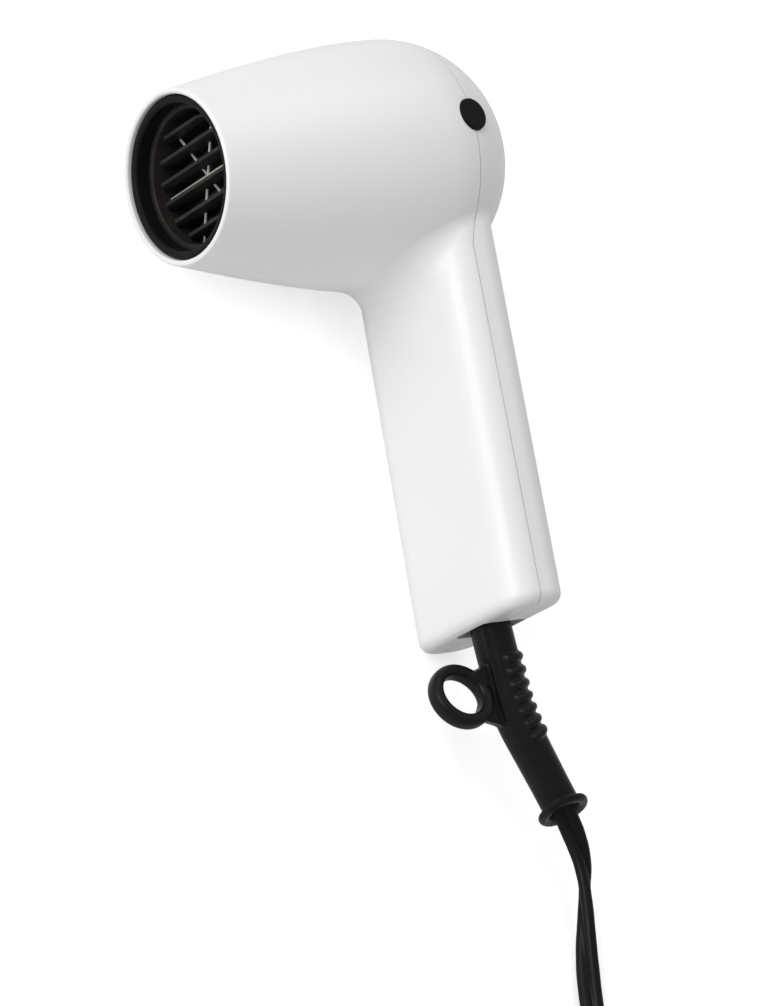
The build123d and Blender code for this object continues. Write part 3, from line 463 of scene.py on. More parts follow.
ROCKER_PLASTIC = MarkedFinish("rocker_plastic", srgb(40, 40, 42), 0.36)

NODE_FINISHES: dict[Finish, str] = {
    WHITE_PLASTIC: "front_housing back_cover",
    BLACK_PLASTIC: "left_seam_plug right_seam_plug nozzle_liner motor_mount fan_impeller "
    "switch_body cord_clamp",
    BRIGHT_STEEL: "heating_coil thermal_cutout motor_shaft housing_screws clamp_screws",
    SLEEVE_METAL: "heat_sleeve",
    MICA: "upright_mica_board level_mica_board",
    MOTOR_CAN: "motor",
    BOARD: "diode_board",
    COMPONENT: "diodes capacitor",
    ROCKER_PLASTIC: "switch_rocker",
    CORD_JACKET: "cord_inner",
    LEAD_JACKET: "neutral_lead live_lead switched_lead",
    BRASS: "plug_blades",
}


def dress_nodes(nodes: dict[str, Piece]) -> None:
    """Gives every node of the frame that is shown its finish.

    Args:
        nodes: The frame's nodes by name.
    """
    for finish, names in NODE_FINISHES.items():
        for name in names.split():
            finish.dress(nodes[name])


# Housing


@dataclass
class CrotchBlend:
    """The wide rounding where the handle's front leaves the barrel.

    A ball rolls along the corner: its centre is one radius off the handle's skin along the skin's
    normal, at the height where it is one radius off the barrel too. The surface is the arc between
    the ball's two contacts. The radius is widest on the front and falls to the housing's own at
    the sides. Lengths are in millimetres on the upright tool: X to the nozzle, Y to the camera's
    side, Z up.
    """

    wide_radius: float = 12.0
    side_radius: float = 4.8
    lean: float = 0.106874
    middle_offset: float = -3.125
    half_depth: float = 10.625
    corner: float = 8.4
    top_width: float = 51.4
    foot_width: float = 54.0
    top_z: float = -10.0
    foot_z: float = -143.3
    barrel_curve: tuple[Pair, ...] = ((82.0, 25.6), (57.0, 31.264), (27.25, 37.4), (7.0, 37.4))
    dome_depth: float = 36.6
    sink: float = 0.004
    crease: float = 50.0
    curve_steps: int = 500
    dome_steps: int = 300
    corner_columns: int = 36
    front_columns: int = 72
    arc_points: int = 26
    search: Pair = (-90.0, -12.0)
    halvings: int = 40

    def barrel_outline(self) -> Arrays:
        """The barrel's outline: a cubic curve from the mouth, then a quarter ellipse.

        Returns:
            Places along the barrel and the radius at each.
        """
        share = np.linspace(0.0, 1.0, self.curve_steps)[:, None]
        nose, nose_pull, belly_pull, belly = (np.array(point) for point in self.barrel_curve)
        curve = (
            (1 - share) ** 3 * nose
            + 3 * (1 - share) ** 2 * share * nose_pull
            + 3 * (1 - share) * share**2 * belly_pull
            + share**3 * belly
        )
        turn = np.linspace(math.pi / 2, math.pi, self.dome_steps)[1:, None]
        dome = np.hstack([belly[0] + self.dome_depth * np.cos(turn), belly[1] * np.sin(turn)])
        line = np.concatenate([curve, dome])
        return line[:, 0], line[:, 1]

    def off_barrel(self, points: Array) -> Arrays:
        """Distance of points from the barrel, less than 0 inside, and the direction away from it.

        Args:
            points: One point per row.

        Returns:
            Distances and unit directions.
        """
        line_x, line_r = self.barrel_outline()
        radius = np.hypot(points[:, 1], points[:, 2])
        apart = np.hypot(points[:, :1] - line_x, radius[:, None] - line_r)
        near = np.argmin(apart, axis=1)
        distance = apart[np.arange(len(points)), near]
        inside = radius < np.interp(points[:, 0], line_x[::-1], line_r[::-1])
        side = np.where(inside, -1.0, 1.0)
        away_x = (points[:, 0] - line_x[near]) / distance * side
        away_r = (radius - line_r[near]) / distance * side
        away_y, away_z = away_r * points[:, 1] / radius, away_r * points[:, 2] / radius
        return side * distance, np.stack([away_x, away_y, away_z], axis=1)

    def skin(self, turn: Array, share: Array, height: Array) -> Arrays:
        """Points and outward directions on the handle's front and its two corners.

        Args:
            turn: Turn round the corner, 0 on the front.
            share: Place across the front, -1 to 1.
            height: Z of each point.

        Returns:
            Points and unit directions.
        """
        taper = (self.foot_width - self.top_width) / (self.top_z - self.foot_z)
        width = self.top_width + (self.top_z - height) * taper
        front_x = -height * self.lean + self.middle_offset + self.half_depth
        x = front_x + self.corner * (np.cos(turn) - 1)
        y = share * (width / 2 - self.corner) + self.corner * np.sin(turn)
        rise = self.lean * np.cos(turn) + taper / 2 * np.abs(np.sin(turn))
        normal = np.stack([np.cos(turn), np.sin(turn), rise], axis=1)
        normal /= np.linalg.norm(normal, axis=1, keepdims=True)
        return np.stack([x, y, height], axis=1), normal

    def build(self) -> None:
        """Finds the rolling ball's places by halving and makes the strip between its contacts.

        Each arc point is the centre less the radius times a direction that turns evenly from the
        skin's to the barrel's, and the strip is closed by a line inside the corner.
        """
        quarter = np.linspace(0.0, math.pi / 2, self.corner_columns)
        front, edge = np.linspace(-1.0, 1.0, self.front_columns)[1:-1], np.ones(len(quarter))
        turn = np.concatenate([-quarter[::-1], 0 * front, quarter])
        share = np.concatenate([-edge, front, edge])
        radius = self.side_radius + (self.wide_radius - self.side_radius) * np.cos(turn) ** 2
        low, high = (np.full(len(turn), end) for end in self.search)
        for _ in range(self.halvings):
            height = (low + high) / 2
            touch, normal = self.skin(turn, share, height)
            centre = touch + radius[:, None] * normal
            outside = self.off_barrel(centre)[0] > radius
            low, high = np.where(outside, height, low), np.where(outside, high, height)
        away = self.off_barrel(centre)[1]
        span = np.arccos(np.clip(np.sum(normal * away, axis=1), -1.0, 1.0))[:, None, None]
        step = np.linspace(0.0, 1.0, self.arc_points)[None, :, None]
        from_skin = np.sin((1 - step) * span) * normal[:, None]
        from_barrel = np.sin(step * span) * away[:, None]
        fan = (from_skin + from_barrel) / np.sin(span)
        arc = centre[:, None] - (radius[:, None, None] + self.sink) * fan
        inner = centre - (normal + away) * (radius / (1 + np.cos(span[:, 0, 0])))[:, None]
        rings = np.concatenate([arc, inner[:, None]], axis=1) / MM_PER_M
        laid = lay(BARREL_AXIS[0] - rings[..., 0], rings[..., 1], rings[..., 2])
        strip = new_mesh("crotch_blend", tube_surface(laid, True))
        outward(strip)
        strip.data.set_sharp_from_angle(angle=math.radians(self.crease))
        WHITE_PLASTIC.dress(strip)
        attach(strip, Body.HOUSING.value)


# Nozzle


@dataclass
class NozzleGrille:
    """The black ring with level slats in the mouth, and the crossed wires that stand in them.

    The slats lie level across the barrel, which is along Z here. The wires share a half turn
    evenly, and stand halfway through the slats' depth, bowed outwards a little.
    """

    front_x: float = -0.0498
    back_x: float = -0.0378
    ring_outer: float = 0.0217
    ring_inner: float = 0.0196
    ring_edge: float = 0.0004
    ring_columns: int = 96
    slats: int = 6
    pitch: float = 0.006
    thickness: float = 0.0011
    depth: float = 0.010
    shoulder: float = 0.0045
    slope: float = 0.005
    slat_root: float = 0.001
    edge_width: float = 0.00016
    edge_segments: int = 2
    wires: int = 3
    wire_x: float = -0.0440
    wire_radius: float = 0.00042
    wire_inset: float = 0.0006
    wire_bow: float = 0.0001
    wire_rows: int = 33
    wire_columns: int = 12

    def ring(self) -> Surface:
        """Ring with softened edges: a small rounded rectangle carried round the axis.

        Returns:
            Points and quads, with no wider face.
        """
        edge, front, back = self.ring_edge, self.front_x, self.back_x
        outer, inner = self.ring_outer, self.ring_inner
        x = [front, front, front + edge, back - edge, back, back, back - edge, front + edge]
        radius = [inner + edge, outer - edge, outer, outer]
        radius += [outer - edge, inner + edge, inner, inner]
        x, radius = np.array(x), np.array(radius)
        turn = full_turn(self.ring_columns)[:, None]
        rings = lay(x[None, :], radius * np.cos(turn), radius * np.sin(turn))
        return tube_surface(rings, False)

    def slat(self, row: int) -> Surface:
        """One slat, whose ends fall back from the front edge to the ring.

        Args:
            row: Number of the slat from the foot's side.

        Returns:
            Points, side quads and the two faces.
        """
        height = (row - (self.slats - 1) / 2) * self.pitch
        half = math.sqrt(self.ring_inner**2 - height**2) + self.slat_root
        flat = max(half - self.slope, half / 2)
        x = self.front_x + np.array([self.depth, self.shoulder, 0, 0, self.shoulder, self.depth])
        side = np.array([-half, -half, -flat, flat, half, half])
        low = lay(x, side, np.full_like(x, height - self.thickness / 2))
        high = lay(x, side, np.full_like(x, height + self.thickness / 2))
        return tube_surface(np.stack([low, high]), True)

    def wire(self, index: int) -> Surface:
        """One wire across the mouth.

        Args:
            index: Number of the wire.

        Returns:
            Points, quads and end faces.
        """
        angle = math.pi * index / self.wires
        run = np.linspace(-1.0, 1.0, self.wire_rows)[:, None]
        section = full_turn(self.wire_columns)[None, :]
        along = run * (self.ring_outer - self.wire_inset)
        across = self.wire_radius * np.cos(section) + 0 * run
        bow = self.wire_bow * (1 - run**2)
        x = self.wire_x - bow + self.wire_radius * np.sin(section)
        side = along * math.cos(angle) - across * math.sin(angle)
        height = along * math.sin(angle) + across * math.cos(angle)
        return tube_surface(lay(x, side, height), True)

    def build(self) -> None:
        """Makes the grille and the guard and replaces their plain solids."""
        slats = [self.slat(row) for row in range(self.slats)]
        grille = join_parts("slatted_grille", [self.ring(), *slats])
        outward(grille)
        edges = grille.modifiers.new("edges", "BEVEL")
        edges.width, edges.segments = self.edge_width, self.edge_segments
        edges.limit_method = "ANGLE"
        bake(grille)
        GRILLE_COAT.dress(grille)
        guard = join_parts("crossed_wires", [self.wire(index) for index in range(self.wires)])
        outward(guard)
        GUARD_WIRE.dress(guard)
        for piece, node in ((grille, "grille"), (guard, "wire_guard")):
            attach(piece, Body.HOUSING.value)
            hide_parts(node)


# Strain relief


@dataclass
class BendRelief:
    """The strain relief: ribbed sleeve, hanging ring, web and rolled bell in one moulding.

    The sleeve follows a straight run, an arc and a straight run in a plane that is spanned by
    across and down from the origin. Its radius narrows towards the bell. On the side away from
    the ring it carries half-round ribs, and a ridge runs along its front. The bell's mouth is cut
    at a slant that faces up, and its funnel ends where the cord begins. A pair says where a change
    starts and over how much it goes, and the web's pairs are places across and down.
    """

    origin: Point = (0.014011, -0.061354, 0.026672)
    across: Point = (1.0, 0.0, 0.0)
    down: Point = (0.0, -0.971574, -0.236731)
    facing: Point = (-0.6154, -0.2585, 0.7446)
    top: float = 0.0008
    sunk: float = 0.0028
    first_turn: float = 6.5
    last_turn: float = 23.7
    first_run: float = 0.0243
    second_run: float = 0.0341
    bend_radius: float = 0.047
    path_steps: int = 1200
    radius: float = 0.00615
    end_radius: float = 0.0057
    narrowing: Pair = (0.024, 0.024)
    sleeve_step: float = 0.00025
    sides: int = 112
    ribs: int = 7
    rib_first: float = 0.0087
    rib_pitch: float = 0.0040
    rib_half: float = 0.00135
    rib_height: float = 0.0011
    rib_near: Pair = (math.radians(12.0), 0.25)
    rib_far: Pair = (2.9, 0.3)
    ridge_turn: float = math.radians(21.0)
    ridge_width: float = 0.11
    ridge_height: float = 0.0006
    ridge_length: float = 0.029
    ridge_fade: float = 0.004
    mouth_slant: float = 0.58
    slant_run: Pair = (0.016, 0.014)
    bell_radius: float = 0.0064
    roll: float = 0.0015
    roll_turn: tuple[float, float, int] = (200.0, -10.0, 20)
    lip: float = 0.0006
    funnel_mouth: float = 0.0049
    funnel_neck: float = 0.0038
    funnel_depth: float = 0.0060
    funnel_rows: int = 16
    ring_centre: Point = (-0.001089, -0.079332, 0.022293)
    ring_axis: Point = (0.0, -0.178916, -0.983864)
    ring_middle: float = 0.0083
    ring_half: float = 0.0019
    ring_depth: float = 0.0028
    ring_power: float = 2.6
    ring_rows: int = 96
    ring_columns: int = 28
    web_corners: tuple[Pair, ...] = ((-0.0068, 0.0185), (-0.0098, 0.0120), (0.0, 0.0088))
    web_sweep: tuple[Pair, ...] = ((0.0038, 0.0355), (0.0002, 0.0272), (-0.0109, 0.0262))
    web_steps: int = 12
    web_thickness: float = 0.0036
    voxel: float = 0.00032
    smoothing: tuple[float, int] = (0.5, 6)

    def bend(self) -> tuple[float, float, float]:
        """The bend of the middle line.

        Returns:
            Where it starts, its turn in radians, and the line's length from the foot to the tip.
        """
        turn = math.radians(self.last_turn - self.first_turn)
        tangent = self.bend_radius * math.tan(turn / 2)
        length = self.first_run + self.second_run - 2 * tangent + self.bend_radius * turn
        return self.first_run - tangent, turn, length

    def path(self, run: Array) -> Arrays:
        """Points and directions of the sleeve's middle line.

        The direction turns from first_turn to last_turn at a steady rate along the arc, and the
        points are the sum of the directions over small steps.

        Args:
            run: Distances along the line from its start.

        Returns:
            Points and unit directions, one per row.
        """
        start, turn, length = self.bend()
        fine = np.linspace(-self.sunk, length, self.path_steps)
        share = (fine - start) / (self.bend_radius * turn)
        angle = math.radians(self.first_turn) + turn * np.clip(share, 0.0, 1.0)
        step = fine[1] - fine[0]
        u, w = np.cumsum(np.sin(angle)) * step, np.cumsum(np.cos(angle)) * step
        foot = int(np.argmin(np.abs(fine)))
        u, w = u - u[foot], w - w[foot] + self.top
        across, down = np.array(self.across), np.array(self.down)
        u, w, heading = (np.interp(run, fine, line)[:, None] for line in (u, w, angle))
        points = np.array(self.origin) + u * across + w * down
        return points, np.sin(heading) * across + np.cos(heading) * down

    def profile(self) -> Arrays:
        """The sleeve's radius, from the sunk top over the bell's roll into its funnel.

        Returns:
            Distances along the line and radii.
        """
        tip = self.bend()[2]
        sleeve = np.arange(-self.sunk, tip - 2 * self.roll, self.sleeve_step)
        start, run = self.narrowing
        narrow = np.clip((sleeve - start) / run, 0.0, 1.0)
        sleeve_radius = self.radius + (self.end_radius - self.radius) * narrow
        over = np.radians(np.linspace(*self.roll_turn))
        roll_run = tip - self.roll + self.roll * np.cos(over)
        roll_radius = self.bell_radius + self.roll * np.sin(over)
        inner = np.linspace(0.0, 1.0, self.funnel_rows)
        funnel_run = tip - self.lip - (self.funnel_depth - self.lip) * inner
        funnel_radius = self.funnel_mouth + (self.funnel_neck - self.funnel_mouth) * inner
        places = np.concatenate([sleeve, roll_run, funnel_run])
        return places, np.concatenate([sleeve_radius, roll_radius, funnel_radius])

    def relief(self, run: Array, angle: Array) -> Array:
        """Height of the ribs and the ridge over the sleeve.

        A rib is a half circle along the sleeve, and fades in and out round it. The ridge is a bell
        curve round the sleeve and fades out along it.

        Args:
            run: Distances along the middle line.
            angle: Angles round it, 0 in front, as a row.

        Returns:
            The heights, one row per distance.
        """
        half_pitch = self.rib_pitch / 2
        place = (run[:, None] - self.rib_first + half_pitch) % self.rib_pitch - half_pitch
        last = self.rib_first + (self.ribs - 1) * self.rib_pitch
        inside = (run > self.rib_first - self.rib_half) & (run < last + self.rib_half)
        bump = np.sqrt(np.clip(1 - (place / self.rib_half) ** 2, 0.0, 1.0)) * inside[:, None]
        (near, near_ramp), (far, far_ramp) = self.rib_near, self.rib_far
        mask = np.clip((angle - near) / near_ramp, 0.0, 1.0)
        mask = mask * np.clip((far - angle) / far_ramp, 0.0, 1.0)
        fade = np.clip((self.ridge_length - run) / self.ridge_fade, 0.0, 1.0)[:, None]
        ridge = np.exp(-(((angle + self.ridge_turn) / self.ridge_width) ** 2))
        return self.rib_height * bump * mask + self.ridge_height * fade * ridge

    def sleeve(self) -> Surface:
        """The sleeve, its ribs and the bell.

        A ring's points lie at the profile's radius plus the relief, round the middle line. Near
        the mouth they are moved back along the line by the slant times their distance in front.

        Returns:
            Points, quads and end faces.
        """
        run, radius = self.profile()
        length = self.bend()[2]
        points, heading = self.path(np.clip(run, -self.sunk, length))
        facing = np.array(self.facing)
        front = facing - (heading @ facing)[:, None] * heading
        front /= np.linalg.norm(front, axis=1, keepdims=True)
        right = np.cross(heading, front)
        right *= np.sign(right[:, :1])
        angle = np.linspace(-math.pi, math.pi, self.sides, endpoint=False)[None, :]
        spread = radius[:, None] + self.relief(run, angle)
        ahead = spread * np.cos(angle)
        rings = (
            points[:, None, :]
            + ahead[..., None] * front[:, None, :]
            + (spread * np.sin(angle))[..., None] * right[:, None, :]
        )
        start, ramp = self.slant_run
        nearing = np.clip((run - length + start) / ramp, 0.0, 1.0)
        slant = self.mouth_slant * nearing**2
        rings -= (slant[:, None] * ahead)[..., None] * heading[:, None, :]
        return tube_surface(rings, True)

    def ring(self) -> Surface:
        """The hanging ring: a rounded section carried round its axis.

        Returns:
            Points and quads, with no wider face.
        """
        axis, first = np.array(self.ring_axis), np.array(self.across)
        second = np.cross(axis, first)
        turn = full_turn(self.ring_rows)[:, None]
        out, rise = superellipse(full_turn(self.ring_columns)[None, :], 2 / self.ring_power)
        out = self.ring_middle + self.ring_half * out
        points = (
            np.array(self.ring_centre)
            + (out * np.cos(turn))[..., None] * first
            + (out * np.sin(turn))[..., None] * second
            + (self.ring_depth * rise + 0 * turn)[..., None] * axis
        )
        return tube_surface(points, False)

    def web(self) -> Surface:
        """The flat web between the ring and the sleeve, its lower edge drawn in by a parabola.

        Returns:
            Points, side quads and the two faces.
        """
        share = np.linspace(0.0, 1.0, self.web_steps)[:, None]
        start, pull, end = (np.array(point) for point in self.web_sweep)
        sweep = (1 - share) ** 2 * start + 2 * share * (1 - share) * pull + share**2 * end
        flat = np.concatenate([self.web_corners, sweep])
        across, down = np.array(self.across), np.array(self.down)
        rise = np.cross(across, down) * self.web_thickness
        outline = np.array(self.origin) + flat[:, :1] * across + flat[:, 1:] * down - rise / 2
        return tube_surface(np.stack([outline, outline + rise]), True)

    def build(self) -> None:
        """Joins the forms, merges them with a fine remesh and smooths their meeting lines."""
        relief = join_parts("moulded_strain_relief", [self.sleeve(), self.ring(), self.web()])
        outward(relief)
        merge = relief.modifiers.new("merge", "REMESH")
        merge.mode, merge.voxel_size = "VOXEL", self.voxel
        soften = relief.modifiers.new("soften", "SMOOTH")
        soften.factor, soften.iterations = self.smoothing
        bake(relief)
        RELIEF_RUBBER.dress(relief)
        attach(relief, Body.HOUSING.value)
        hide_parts("strain_relief")


# View and studio


@dataclass
class PhotographView:
    """The camera at the photograph's viewing angle."""

    eye: Point = (-1.051486, -0.458429, 1.289891)
    right: Point = (0.7843111, -0.2945035, 0.5460072)
    up: Point = (0.0781477, 0.9200262, 0.3839854)
    sensor: float = 36.0
    lens: float = 209.705
    clip_start: float = 0.05

    def build(self) -> None:
        """Makes the camera from its eye point and the picture's right and up directions."""
        data = bpy.data.cameras.new("photograph_camera")
        data.sensor_fit = "VERTICAL"
        data.sensor_height = self.sensor
        data.sensor_width = self.sensor
        data.lens = self.lens
        data.clip_start = self.clip_start
        camera = bpy.data.objects.new("photograph_camera", data)
        bpy.context.scene.collection.objects.link(camera)
        right, up = Vector(self.right).normalized(), Vector(self.up).normalized()
        turn = Matrix((right, up, right.cross(up))).transposed().to_4x4()
        camera.matrix_world = Matrix.Translation(self.eye) @ turn
        bpy.context.scene.camera = camera


@dataclass(frozen=True)
class Lamp:
    """A square soft lamp: its name, centre and side in metres, and power in watts."""

    name: str
    place: Point
    size: float
    power: float
    aim: Point = (0.0, 0.0, 0.03)

    def build(self) -> None:
        """Makes the lamp and aims it at the tool."""
        data = bpy.data.lights.new(self.name, "AREA")
        data.shape = "SQUARE"
        data.size = self.size
        data.energy = self.power
        lamp = bpy.data.objects.new(self.name, data)
        bpy.context.scene.collection.objects.link(lamp)
        towards = Vector(self.aim) - Vector(self.place)
        turn = towards.to_track_quat("-Z", "Y").to_matrix().to_4x4()
        lamp.matrix_world = Matrix.Translation(self.place) @ turn


@dataclass
class Studio:
    """A pale table under soft light, the strongest from the left of the picture."""

    floor_size: float = 8.0
    floor_colour: Colour = field(default_factory=lambda: srgb(243, 243, 243))
    floor_roughness: float = 0.9
    camera_lift: float = 0.5
    sky: float = 0.44
    lamps: tuple[Lamp, ...] = (
        Lamp("key_lamp", (-1.38, 0.42, 0.85), 1.3, 16.5),
        Lamp("top_lamp", (0.35, 1.0, 1.3), 1.4, 6.0),
    )

    def build(self) -> None:
        """Makes the floor, the sky and the lamps."""
        self.floor()
        self.world()
        for lamp in self.lamps:
            lamp.build()
        bpy.context.scene.view_settings.view_transform = "Standard"

    def floor(self) -> None:
        """A wide plane at Z = 0 that glows a little for the camera alone, so that it is white."""
        half = self.floor_size / 2
        corners = np.array([(-half, -half, 0), (half, -half, 0), (half, half, 0), (-half, half, 0)])
        plane = new_mesh("table_top", (corners, np.array([[0, 1, 2, 3]]), []))
        made = bpy.data.materials.new("pale_table")
        made.use_nodes = True
        tree = made.node_tree
        shader = tree.nodes["Principled BSDF"].inputs
        shader["Base Color"].default_value = (*self.floor_colour, 1)
        shader["Roughness"].default_value = self.floor_roughness
        shader["Specular IOR Level"].default_value = 0.0
        shader["Emission Color"].default_value = (1, 1, 1, 1)
        seen = add_node(tree, "LightPath")["Is Camera Ray"]
        glow = add_node(tree, "Math", {1: self.camera_lift}, {0: seen}, operation="MULTIPLY")[0]
        tree.links.new(glow, shader["Emission Strength"])
        plane.data.materials.append(made)

    def world(self) -> None:
        """An even sky that the camera sees as white."""
        world = bpy.data.worlds.new("studio_sky")
        world.use_nodes = True
        tree = world.node_tree
        background = tree.nodes["Background"].inputs
        background["Color"].default_value = (1, 1, 1, 1)
        seen = add_node(tree, "LightPath")["Is Camera Ray"]
        ends = {"To Min": self.sky, "To Max": 1.0}
        level = add_node(tree, "MapRange", ends, {"Value": seen})["Result"]
        tree.links.new(level, background["Strength"])
        bpy.context.scene.world = world


# Cord


@dataclass
class TwinCord:
    """The flat twin cord from the strain relief's bell to the plug, with its coil.

    The route's points are the control points of one smooth spline. The jacket is two round lobes
    side by side, carried along the spline and turned about it by the twist table, which gives the
    turn in degrees at each distance.
    """

    tied: tuple[Piece, ...] = ()
    exit: Point = (0.028056, -0.110587, 0.014676)
    lead: tuple[Point, ...] = (
        (0.034487, -0.124821, 0.011208),
        (0.0330, -0.1400, 0.0076),
        (0.0282, -0.1585, 0.0044),
        (0.0236, -0.1800, 0.0040),
        (0.0246, -0.2030, 0.0048),
        (0.0270, -0.2250, 0.0048),
    )
    coil_line: float = -0.232
    coil_stations: tuple[float, ...] = (
        0.0270, -0.0620, 0.0180, -0.0530, 0.0090, -0.0440,
        0.0045, -0.0485, 0.0135, -0.0575, 0.0225, -0.0665, 0.0315,
    )
    lower_turns: int = 5
    lower_height: float = 0.0048
    upper_height: float = 0.0123
    points_per_half: int = 8
    tail: tuple[Point, ...] = (
        (0.0315, -0.2390, 0.0123),
        (0.0315, -0.2500, 0.0123),
        (0.0275, -0.2700, 0.0082),
        (0.0140, -0.2870, 0.0040),
        (-0.0050, -0.2985, 0.0060),
        (-0.0270, -0.2985, 0.0060),
    )
    width: float = 0.0070
    thickness: float = 0.0036
    groove: float = 152.0
    length: float = 1.575
    step: float = 0.0016
    lobe_points: int = 12
    spline_steps: int = 12
    spline_order: int = 3
    twist: tuple[Pair, ...] = (
        (0.0, -45.0),
        (0.010, -38.0),
        (0.027, 48.0),
        (0.056, 138.0),
        (0.112, 270.0),
        (1.478, 270.0),
        (1.550, 360.0),
        (1.600, 360.0),
    )

    def coil_points(self) -> list[Point]:
        """Control points of the coil's half turns.

        Each arc is pushed out by one over the cosine of half a step, because the spline runs
        inside its points by that much.

        Returns:
            The points from the first station to the last.
        """
        points = []
        half_step = math.pi / self.points_per_half / 2
        for index, (start, end) in enumerate(zip(self.coil_stations, self.coil_stations[1:])):
            centre, radius = (start + end) / 2, abs(end - start) / 2 / math.cos(half_step)
            side = -1.0 if index % 2 == 0 else 1.0
            low = self.upper_height if index > self.lower_turns else self.lower_height
            high = self.upper_height if index >= self.lower_turns else self.lower_height
            for k in range(self.points_per_half):
                share = (k + 0.5) / self.points_per_half
                across = radius * math.cos(math.pi * share) * (1 if start > end else -1)
                along = side * radius * math.sin(math.pi * share)
                height = low + (high - low) * share
                points.append((centre + across, self.coil_line + along, height))
        return points

    def spline_points(self) -> Array:
        """Points along the smooth line of the route.

        Returns:
            The evaluated spline, one point per row, evenly spaced.
        """
        points = [self.exit, *self.lead, *self.coil_points(), *self.tail]
        curve = bpy.data.curves.new("cord_route", "CURVE")
        curve.dimensions = "3D"
        curve.resolution_u = self.spline_steps
        spline = curve.splines.new("NURBS")
        spline.points.add(len(points) - 1)
        for target, point in zip(spline.points, points):
            target.co = (*point, 1.0)
        spline.order_u = self.spline_order
        spline.use_endpoint_u = True
        route = bpy.data.objects.new("cord_route", curve)
        bpy.context.scene.collection.objects.link(route)
        line = bpy.data.meshes.new_from_object(route)
        raw = np.empty(len(line.vertices) * 3)
        line.vertices.foreach_get("co", raw)
        raw = raw.reshape(-1, 3)
        bpy.data.meshes.remove(line)
        bpy.data.objects.remove(route)
        bpy.data.curves.remove(curve)
        run = self.distances(raw)
        even = np.linspace(0.0, run[-1], int(run[-1] / self.step) + 1)
        return np.stack([np.interp(even, run, raw[:, axis]) for axis in range(3)], axis=1)

    def distances(self, points: Array) -> Array:
        """Distance of each point from the first, along the line through all of them.

        Args:
            points: The line's points, one per row.

        Returns:
            The distances in metres.
        """
        steps = np.linalg.norm(np.diff(points, axis=0), axis=1)
        return np.concatenate([[0.0], np.cumsum(steps)])

    def section(self) -> Array:
        """Outline of the jacket: two round lobes whose flanks meet in a shallow groove.

        Returns:
            Points across and through the cord, one per row, going round once.
        """
        radius = self.thickness / 2
        centre = self.width / 2 - radius
        groove = math.radians(self.groove)
        angles = np.linspace(-groove, groove, self.lobe_points)
        right = np.stack([centre + radius * np.cos(angles), radius * np.sin(angles)], axis=1)
        return np.concatenate([right, -right])

    def build(self) -> None:
        path = self.spline_points()
        tangent = np.gradient(path, axis=0)
        tangent /= np.linalg.norm(tangent, axis=1, keepdims=True)
        level = np.cross(tangent, (0.0, 0.0, 1.0))
        level /= np.linalg.norm(level, axis=1, keepdims=True)
        rise = np.cross(level, tangent)
        run = self.distances(path)
        places, turns = zip(*self.twist)
        turn = np.radians(np.interp(run, places, turns))[:, None]
        wide = np.cos(turn) * level + np.sin(turn) * rise
        thin = np.cross(wide, tangent)
        outline = self.section()
        rings = (
            path[:, None, :]
            + outline[None, :, :1] * wide[:, None, :]
            + outline[None, :, 1:] * thin[:, None, :]
        )
        cord = new_mesh("mains_cord", tube_surface(rings, True))
        CORD_JACKET.dress(cord)
        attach(cord, Body.HOUSING.value)
        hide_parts("cord_lead", "cord_coil", "cord_tail")


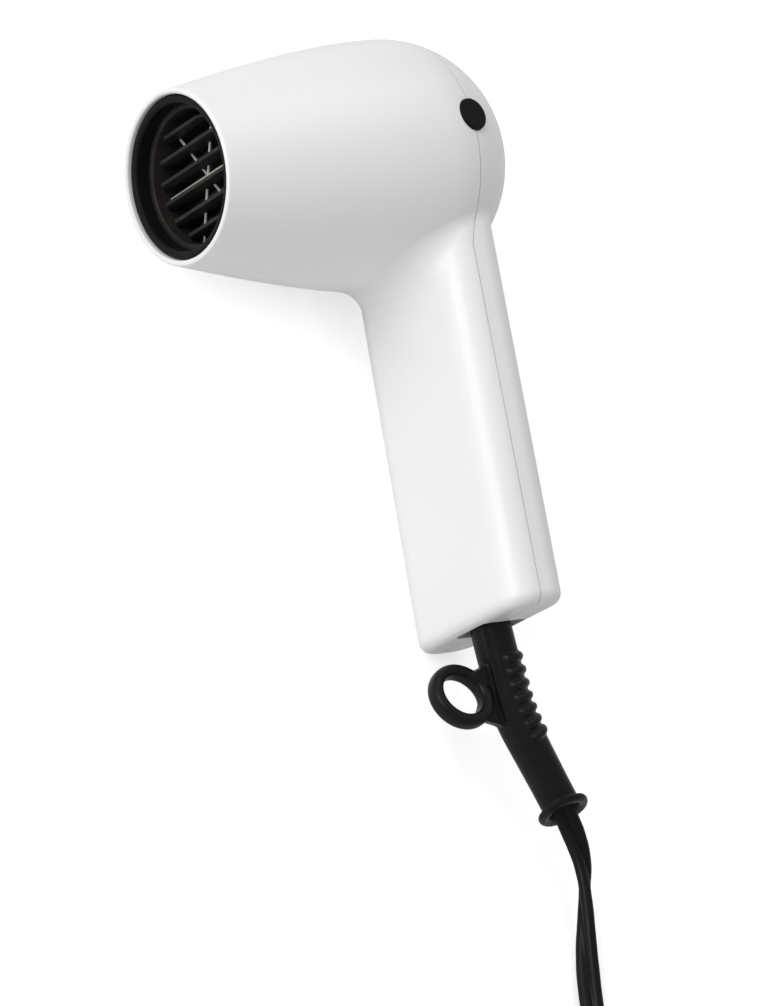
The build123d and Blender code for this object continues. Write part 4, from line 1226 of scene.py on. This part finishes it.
@dataclass
class MouldedPlug:
    """The two-blade plug's body: a ringed neck that flares into a flat grip with ridges.

    Each section is a superellipse. Its half width, half height and power follow a table along the
    plug, softened by a moving average up to the face. The neck's rings are a cosine on both
    halves, and the grip's ridges are raised cosines on the flat faces.
    """

    start: Point = (-0.0270, -0.2985, 0.0060)
    stations: tuple[tuple[float, float, float, float], ...] = (
        (0.0000, 0.0039, 0.0030, 2.0),
        (0.0100, 0.0045, 0.0038, 2.0),
        (0.0130, 0.0060, 0.0044, 2.2),
        (0.0170, 0.0102, 0.0054, 2.8),
        (0.0200, 0.0112, 0.0057, 3.2),
        (0.0270, 0.0107, 0.0056, 3.4),
        (0.0340, 0.0117, 0.0058, 3.6),
        (0.0370, 0.0118, 0.0058, 3.6),
        (0.0378, 0.0114, 0.0054, 3.4),
        (0.0380, 0.0108, 0.0048, 3.2),
    )
    body_rows: tuple[float, float, int] = (0.0, 0.0366, 190)
    face_rows: tuple[float, float, int] = (0.0368, 0.0380, 12)
    average: int = 15
    neck_length: float = 0.0108
    neck_pitch: float = 0.0024
    neck_depth: float = 0.0004
    ridge_from: float = 0.0205
    ridge_to: float = 0.0325
    ridge_pitch: float = 0.0024
    ridge_height: float = 0.00022
    ridge_reach: float = 0.75
    columns: int = 96

    def build(self) -> Piece:
        """Makes the plug's body and replaces its plain solid.

        Returns:
            The plug's body.
        """
        table = np.array(self.stations)
        run = np.concatenate([np.linspace(*self.body_rows), np.linspace(*self.face_rows)])
        wide, high, power = (np.interp(run, table[:, 0], table[:, k]) for k in (1, 2, 3))
        kernel = np.hanning(self.average) / np.hanning(self.average).sum()
        for half in (wide, high):
            body = half[: self.body_rows[2]]
            padded = np.pad(body, self.average // 2, mode="edge")
            body[:] = np.convolve(padded, kernel, mode="valid")
        wave = 0.5 - 0.5 * np.cos(2 * np.pi * run / self.neck_pitch)
        neck = self.neck_depth * wave * (run < self.neck_length)
        on_grip = (run > self.ridge_from) & (run < self.ridge_to)
        wave = 0.5 - 0.5 * np.cos(2 * np.pi * (run - self.ridge_from) / self.ridge_pitch)
        ridge = (self.ridge_height * wave * on_grip)[:, None]
        turn = full_turn(self.columns)[None, :]
        across, rise = superellipse(turn, (2 / power)[:, None])
        across *= (wide - neck)[:, None]
        rise *= (high - neck)[:, None] + ridge * (np.abs(np.cos(turn)) < self.ridge_reach)
        x = self.start[0] - run[:, None] + 0 * across
        rings = np.stack([x, self.start[1] + across, self.start[2] + rise], axis=-1)
        plug = new_mesh("moulded_plug", tube_surface(rings, True))
        outward(plug)
        PLUG_RUBBER.dress(plug)
        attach(plug, Body.HOUSING.value)
        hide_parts("plug_body")
        return plug


@dataclass
class CoilBand:
    """The band round the coil's turns: a woven strap whose end laps over itself on top.

    Its line is a superellipse that runs on past its start by the lap, where it moves out by one
    thickness. Its section is a flat rounded rectangle.
    """

    middle: Point = (-0.05525, -0.2320, 0.00855)
    half_across: float = 0.01600
    half_high: float = 0.00850
    power: float = 3.4
    start_turn: float = math.radians(60.0)
    thickness: float = 0.0008
    half_width: float = 0.0025
    section_share: float = 0.4
    lap: float = 0.9
    lap_ramp: float = 0.35
    inset: float = 1.5
    rows: int = 200
    columns: int = 16

    def build(self) -> Piece:
        """Makes the band and replaces its plain solid.

        Returns:
            The band.
        """
        turn = np.linspace(0.0, 2 * math.pi + self.lap, self.rows)
        lapped = np.clip((turn - 2 * math.pi + self.lap_ramp) / self.lap_ramp, 0.0, 1.0)
        inset = self.thickness * (self.inset - lapped)
        out, rise = superellipse(turn + self.start_turn, 2 / self.power)
        through, along = superellipse(full_turn(self.columns)[None, :], self.section_share)
        through = through * self.thickness / 2
        across = (self.half_across - inset)[:, None] + through
        high = (self.half_high - inset)[:, None] + through
        x = self.middle[0] + out[:, None] * across
        y = self.middle[1] + along * self.half_width + 0 * across
        z = self.middle[2] + rise[:, None] * high
        band = new_mesh("coil_band", tube_surface(np.stack([x, y, z], axis=-1), True))
        outward(band)
        BAND_WEAVE.dress(band)
        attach(band, Body.HOUSING.value)
        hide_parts("coil_tie")
        return band


def main() -> None:
    """Builds the scene round the frame."""
    logging.basicConfig(level=logging.INFO, format="%(name)s: %(message)s")
    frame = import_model()
    tied = (MouldedPlug().build(), CoilBand().build())
    parts = [PhotographView(), TwinCord(tied), CrotchBlend(), NozzleGrille(), BendRelief()]
    for part in [*parts, Studio()]:
        part.build()
        log.info("%s: %d objects in the scene", type(part).__name__, len(bpy.data.objects))
    dress_nodes(frame["nodes"])


if __name__ == "__main__":
    main()
